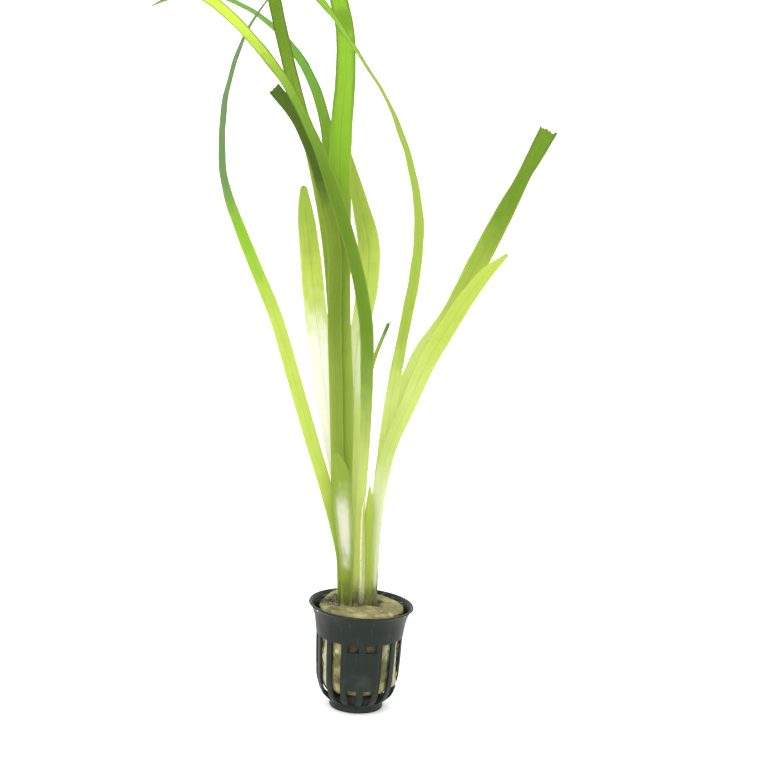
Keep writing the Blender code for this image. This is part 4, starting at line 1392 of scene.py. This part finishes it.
def step_up(value, limits):
    """0 below the first limit, 1 above the second."""
    return float(smooth_step(value, *limits))


def wool_point(radius, degrees, height, lump):
    """Where a point of the plain plug goes in the lumpy one, and how fuzzy it is there."""
    top = step_up(height, TOP_EDGE)
    share = radius / TOP_RADIUS
    front = bell(angle_from(degrees, FRONT_SIDE[0]), FRONT_SIDE[1])
    back = bell(angle_from(degrees, BACK_SIDE[0]), BACK_SIDE[1])
    window = math.cos(math.radians((degrees - FIRST_RIB - PERIOD / 2) * RIBS))
    basket = step_up(height, WINDOWS_FROM) * (1.0 - step_up(height, WINDOWS_TO))
    tuft = bell(angle_from(degrees, TUFT_SIDE[0]), TUFT_SIDE[1])
    tuft *= bell(height - TUFT_LEVEL[0], TUFT_LEVEL[1])
    radius += top * front * FRONT_BULGE * share + basket * WINDOW_BULGE * window * share
    radius += TUFT_BULGE * tuft
    x, y, z = on_circle(radius, degrees, height)
    place = Vector((x, y, z))
    rough = lump * sum(
        strength * noise.noise(place / size + Vector(start)) for size, strength, start in LUMP_NOISE)
    outward = Vector(on_circle(1.0, degrees, 0.0))
    side = 1.0 - step_up(height, TOP_SIDE)
    low = 1.0 - step_up(height, UNDERSIDE)
    place += outward * rough * side * (1.0 - low)
    place.z += rough * (1.0 - side) * 0.7 - low * abs(rough) * 0.8
    surface = step_up(height, TOP_FACE)
    stems = near_stems(x, y)
    crease = -3.6 + 0.9 * math.sin(x / 5.0) - 0.02 * x * x
    flap = 1.0 - step_up(y, (crease - 0.5, crease + 0.5))
    hollow_x, hollow_y, half_wide, half_deep = HOLLOW
    hollow = bell(x - hollow_x, half_wide) * bell(y - hollow_y, half_deep)
    sink = STEM_SINK * stems * (1.0 - flap) + HOLLOW_DEPTH * hollow + TOP_SINK
    place.z += surface * (FLAP_RISE * flap - sink)
    place.z += surface * (back * BACK_RISE * share ** 2 + front * FRONT_RISE * share ** 3)
    edge = 1.0 - step_up(radius, TOP_MIDDLE)
    fuzz = surface * (edge * (0.25 + 0.3 * (1.0 - flap)) + 0.9 * back)
    fuzz += 0.14 * basket * max(0.0, window) ** 2 * (0.0 if on_plate(degrees) else 1.0)
    return place, min(1.0, fuzz)


def wool_mesh(settings, material):
    """Make the rock wool plug as one closed lumpy skin."""
    line = finer(WOOL_LINE, WOOL_STEP)
    points, fuzz = [], []
    for radius, height in line:
        for column in range(WOOL_COLUMNS):
            degrees = 360.0 * column / WOOL_COLUMNS
            place, hairy = wool_point(radius, degrees, height, settings.lump / MM)
            points.append(tuple(place))
            fuzz.append(hairy)
    faces = ring_faces(len(line), WOOL_COLUMNS)
    for start in (0, (len(line) - 1) * WOOL_COLUMNS):
        ring = points[start:start + WOOL_COLUMNS]
        middle = len(points)
        points.append((0.0, 0.0, float(np.mean([point[2] for point in ring]))))
        fuzz.append(CAP_FUZZ)
        for column in range(WOOL_COLUMNS):
            faces.append((start + column, start + (column + 1) % WOOL_COLUMNS, middle))
    mesh = mesh_from("rock_wool_skin", points, faces, material, sharp=180.0)
    attribute = mesh.attributes.new(FUZZ, "FLOAT", "POINT")
    attribute.data.foreach_set("value", np.array(fuzz, dtype=np.float32))
    return mesh


def wool_finish(settings):
    """Matted mineral wool: tan, with pale dry patches, damp olive ones, debris and painted shade by the
    stems, painted shade in its pits and under the band, and painted light on its sides.
    """
    finish = Finish("rock_wool_mat")
    place = finish.place()
    x, y, z = finish.parts(place)
    patches = finish.grain(place, 0.0045, 3.0, 0.6)
    strands = finish.grain(finish.vector(x * 0.35, y * 0.35, z * 2.2), 0.0009, 4.0, 0.7)
    upright = finish.grain(finish.vector(x * 1.4, y * 1.4, z * 0.3), 0.0008, 4.0, 0.7)
    fine = finish.grain(place, 0.0004, 3.0, 0.7)
    on_top = finish.rise(z, 0.0485, 0.0502)
    matted = strands * 0.5 + upright * 0.3 + fine * 0.2
    pale = finish.rise(patches + (matted - 0.5) * 0.9, 0.46, 0.72)
    damp = finish.rise(1.0 - patches + (matted - 0.5) * 0.8, 0.42, 0.7) * (1.0 - on_top * 0.75)
    # Debris and painted shade in the hollow round the stems on the top.
    left = ((x + 0.0063) / 0.0085) ** 2.0 + ((y - 0.0036) / 0.0085) ** 2.0
    right = ((x - 0.0039) / 0.0062) ** 2.0 + ((y - 0.0036) / 0.006) ** 2.0
    stem_debris_and_shade = (1.0 - finish.rise(left + (patches - 0.5) * 1.2, 0.7, 1.7)).most(
        1.0 - finish.rise(right + (patches - 0.5) * 1.2, 0.7, 1.7)) * on_top
    # Painted shade in the pits of the mat, in umber.
    holes = finish.rise(1.0 - matted, 0.52, 0.68)
    body = finish.blend(pale * 0.75, linear(settings.tan), linear(settings.straw))
    body = finish.blend(damp * 0.85, body, linear(settings.olive))
    for patch_x, patch_y, patch_z, size, colour in WOOL_PATCHES:
        middle = (patch_x * MM, patch_y * MM, patch_z * MM)
        away = finish.node("ShaderNodeVectorMath", {"operation": "DISTANCE"}, {0: place, 1: middle})
        far = Amount(finish, away.outputs["Value"]) * (1.0 / (size * MM))
        share = 1.0 - finish.rise(far + (patches - 0.5) * 1.2 + (matted - 0.5) * 1.4, 0.6, 1.15)
        body = finish.blend(share * PATCH_STRENGTH, body, linear(getattr(settings, colour)))
    body = finish.blend((stem_debris_and_shade * 0.8 + holes * 0.6).clamped(), body, linear(settings.umber))
    return finish.finish(finish.principled(
        Base_Color=body, Roughness=0.95, Specular_IOR_Level=0.05,
        Normal=finish.bump(matted + patches * 0.5, 0.0006, 1.0)))


def fibre_finish(settings):
    """Thin glassy fibres, paler than the mat they stand on."""
    finish = Finish("rock_wool_fibre")
    tint = finish.grain(finish.place(), 0.003, 2.0)
    body = finish.blend(finish.rise(tint, 0.35, 0.65), linear(settings.tan), linear(settings.fibre))
    return finish.finish(finish.principled(Base_Color=body, Roughness=0.6, Specular_IOR_Level=0.2))


def fibre_tree():
    """Node tree that stands short bent fibres on a surface."""
    tree = new_tree("Rock wool fibres", {
        "Wool": "Geometry", "Density": "Float", "Length": "Float", "Radius": "Float",
        "Seed": "Int", "Fibre": "Material"}, "Fibres")
    wires = Wiring(tree)
    given = wires.node("NodeGroupInput").outputs

    def scaled(socket, factor):
        return wires.maths("MULTIPLY", socket, factor)

    def chance(low, high, number):
        seed = wires.maths("ADD", given["Seed"], float(number))
        made = wires.node("FunctionNodeRandomValue", {"data_type": "FLOAT"}, {
            2: low, 3: high, "Seed": seed})
        return made.outputs[1]

    fuzz = wires.node("GeometryNodeInputNamedAttribute", {"data_type": "FLOAT"}, {"Name": FUZZ})
    density = scaled(given["Density"], fuzz.outputs[0])
    spots = wires.node("GeometryNodeDistributePointsOnFaces", {"distribute_method": "RANDOM"}, {
        "Mesh": given["Wool"], "Density": density, "Seed": given["Seed"]})
    length = given["Length"]
    bend = wires.node("ShaderNodeCombineXYZ", inputs={
        "X": scaled(length, 0.45), "Z": scaled(length, 0.3)})
    tip = wires.node("ShaderNodeCombineXYZ", inputs={"X": length, "Z": scaled(length, 0.12)})
    hair = wires.node("GeometryNodeCurveQuadraticBezier", inputs={
        "Resolution": 4, "Start": (0.0, 0.0, 0.0), "Middle": bend.outputs[0], "End": tip.outputs[0]})
    ring = wires.node("GeometryNodeCurvePrimitiveCircle", inputs={
        "Resolution": 3, "Radius": given["Radius"]})
    fibre = wires.node("GeometryNodeCurveToMesh", inputs={
        "Curve": hair.outputs[0], "Profile Curve": ring.outputs[0], "Fill Caps": True})
    size = chance(0.4, 1.5, 1)
    copies = wires.node("GeometryNodeInstanceOnPoints", inputs={
        "Points": spots.outputs[0], "Instance": fibre.outputs[0], "Rotation": spots.outputs["Rotation"],
        "Scale": size})
    spin = wires.node("ShaderNodeCombineXYZ", inputs={
        "Y": chance(-0.5, 0.35, 2), "Z": chance(0.0, 2.0 * math.pi, 3)})
    turned_copies = wires.node("GeometryNodeRotateInstances", inputs={
        "Instances": copies.outputs[0], "Rotation": spin.outputs[0]})
    wires.send_out(turned_copies.outputs[0], given["Fibre"])
    return tree


def paint_hole_light(settings):
    """Make the two near white beads in the rim's holes, painted light that stands for the light seen
    through them.
    """
    finish = Finish("painted_hole_light")
    grain = finish.grain(finish.place(), 0.0004, 2.0)
    # Near white: painted light for the light seen through the holes.
    body = finish.blend(grain * 0.3, (1.0, 1.0, 0.94, 1.0), linear(settings.fibre))
    material = finish.finish(finish.principled(Base_Color=body, Roughness=0.9, Specular_IOR_Level=0.1))
    shape = bmesh.new()
    outwards, upwards = BEAD_SHIFT
    for degrees, radius in zip(RIM_HOLES, BEAD_RADII):
        middle = lean(on_circle(RIM_HOLE_MIDDLE + outwards, degrees, RIM_HOLE_HEIGHT + upwards))
        place = Matrix.Translation(Vector(middle) * MM)
        bmesh.ops.create_icosphere(shape, subdivisions=3, radius=radius * MM, matrix=place)
    mesh = bpy.data.meshes.new("hole_light_beads")
    shape.to_mesh(mesh)
    shape.free()
    mesh.materials.append(material)
    mesh.shade_smooth()
    return add_object("hole_light_beads", mesh)


class VALLISNERIA_OT_pack_rock_wool(bpy.types.Operator):
    """Pack the rock wool round the crowns and stand loose fibres on it"""

    bl_idname = "vallisneria.pack_rock_wool"
    bl_label = "Pack Rock Wool"

    def execute(self, context):
        settings = context.scene.vallisneria_wool
        mesh = wool_mesh(settings, wool_finish(settings))
        fibres = run_tree(add_object("rock_wool_fibres", mesh.copy()), fibre_tree(), {
            "Density": float(settings.fibres),
            "Length": settings.fibre_length,
            "Radius": settings.fibre_radius,
            "Seed": settings.seed,
            "Fibre": fibre_finish(settings),
        })
        settle(add_object("rock_wool_skin", mesh), "rock_wool", "rock_wool_plug")
        settle(fibres, "rock_wool")
        settle(paint_hole_light(settings), "rock_wool")
        return {"FINISHED"}


# Stage

class VALLISNERIA_OT_set_stage(bpy.types.Operator):
    """Set the floor, the white surroundings, the soft light and the camera"""

    bl_idname = "vallisneria.set_stage"
    bl_label = "Set Stage"

    def execute(self, context):
        settings = context.scene.vallisneria_stage
        scene = context.scene
        scene.view_settings.view_transform = "Standard"
        self.add_surroundings(scene, settings)
        self.add_floor(settings)
        self.add_key(settings)
        self.add_camera(scene)
        return {"FINISHED"}

    def add_surroundings(self, scene, settings):
        world = bpy.data.worlds.new("white_studio")
        world.use_nodes = True
        sky = world.node_tree.nodes["Background"]
        sky.inputs["Color"].default_value = (1.0, 1.0, 1.0, 1.0)
        sky.inputs["Strength"].default_value = settings.sky
        scene.world = world

    def add_floor(self, settings):
        half = settings.floor_size / 2
        finish = Finish("pale_floor")
        fine = finish.grain(finish.place(), 0.004, 2.0)
        body = finish.blend(fine * 0.04, linear(settings.floor), (0.8, 0.8, 0.8, 1.0))
        material = finish.finish(finish.principled(
            Base_Color=body, Roughness=0.9, Specular_IOR_Level=0.1))
        corners = ((-half, -half), (half, -half), (half, half), (-half, half))
        mesh = bpy.data.meshes.new("pale_floor")
        mesh.from_pydata([(x, y, FLOOR_LEVEL) for x, y in corners], [], [(0, 1, 2, 3)])
        mesh.materials.append(material)
        add_object("pale_floor", mesh)

    def add_key(self, settings):
        lamp = bpy.data.lights.new("soft_key", "AREA")
        lamp.shape = "DISK"
        lamp.size = KEY_SIZE
        lamp.energy = settings.key
        key = add_object("soft_key", lamp)
        key.location = KEY_PLACE
        aim = Vector(KEY_AIM) - key.location
        key.rotation_euler = aim.to_track_quat("-Z", "Y").to_euler()

    def add_camera(self, scene):
        data = bpy.data.cameras.new("camera")
        data.sensor_width = SENSOR
        data.lens = CAMERA_LENS
        data.clip_start, data.clip_end = CAMERA_CLIP
        camera = add_object("camera", data)
        pitch, roll = math.radians(CAMERA_PITCH), math.radians(CAMERA_ROLL)
        ahead = Vector((0.0, math.cos(pitch), -math.sin(pitch)))
        level = Vector((1.0, 0.0, 0.0))
        upright = level.cross(ahead)
        right = level * math.cos(roll) + upright * math.sin(roll)
        up = upright * math.cos(roll) - level * math.sin(roll)
        turn = Matrix((right, up, -ahead)).transposed().to_4x4()
        camera.matrix_world = Matrix.Translation(Vector(CAMERA_PLACE) * MM) @ turn
        scene.camera = camera


OPERATORS = (
    VALLISNERIA_OT_set_stage,
    VALLISNERIA_OT_grow_leaves,
    VALLISNERIA_OT_wrap_sheaths,
    VALLISNERIA_OT_hang_dried_strand,
    VALLISNERIA_OT_set_crowns,
    VALLISNERIA_OT_mould_net_pot,
    VALLISNERIA_OT_pack_rock_wool,
)
SETTINGS = {
    "vallisneria_leaves": LeafSettings,
    "vallisneria_pot": PotSettings,
    "vallisneria_wool": WoolSettings,
    "vallisneria_stage": StageSettings,
}


class VALLISNERIA_PT_sidebar(bpy.types.Panel):
    """Settings and buttons of the potted vallisneria"""

    bl_idname = "VALLISNERIA_PT_sidebar"
    bl_label = "Potted Vallisneria"
    bl_space_type = "VIEW_3D"
    bl_region_type = "UI"
    bl_category = "Vallisneria"

    def draw(self, context):
        for name, group in SETTINGS.items():
            box = self.layout.box()
            box.label(text=group.__doc__)
            for field in group.__annotations__:
                box.prop(getattr(context.scene, name), field)
        for operator in OPERATORS:
            self.layout.operator(operator.bl_idname)


CLASSES = tuple(SETTINGS.values()) + OPERATORS + (VALLISNERIA_PT_sidebar,)


def register():
    for each in CLASSES:
        bpy.utils.register_class(each)
    for name, group in SETTINGS.items():
        setattr(bpy.types.Scene, name, PointerProperty(type=group))


def unregister():
    for name in SETTINGS:
        delattr(bpy.types.Scene, name)
    for each in reversed(CLASSES):
        bpy.utils.unregister_class(each)


def main():
    register()
    for operator in OPERATORS:
        group, name = operator.bl_idname.split(".")
        getattr(getattr(bpy.ops, group), name)()


if __name__ == "__main__":
    main()
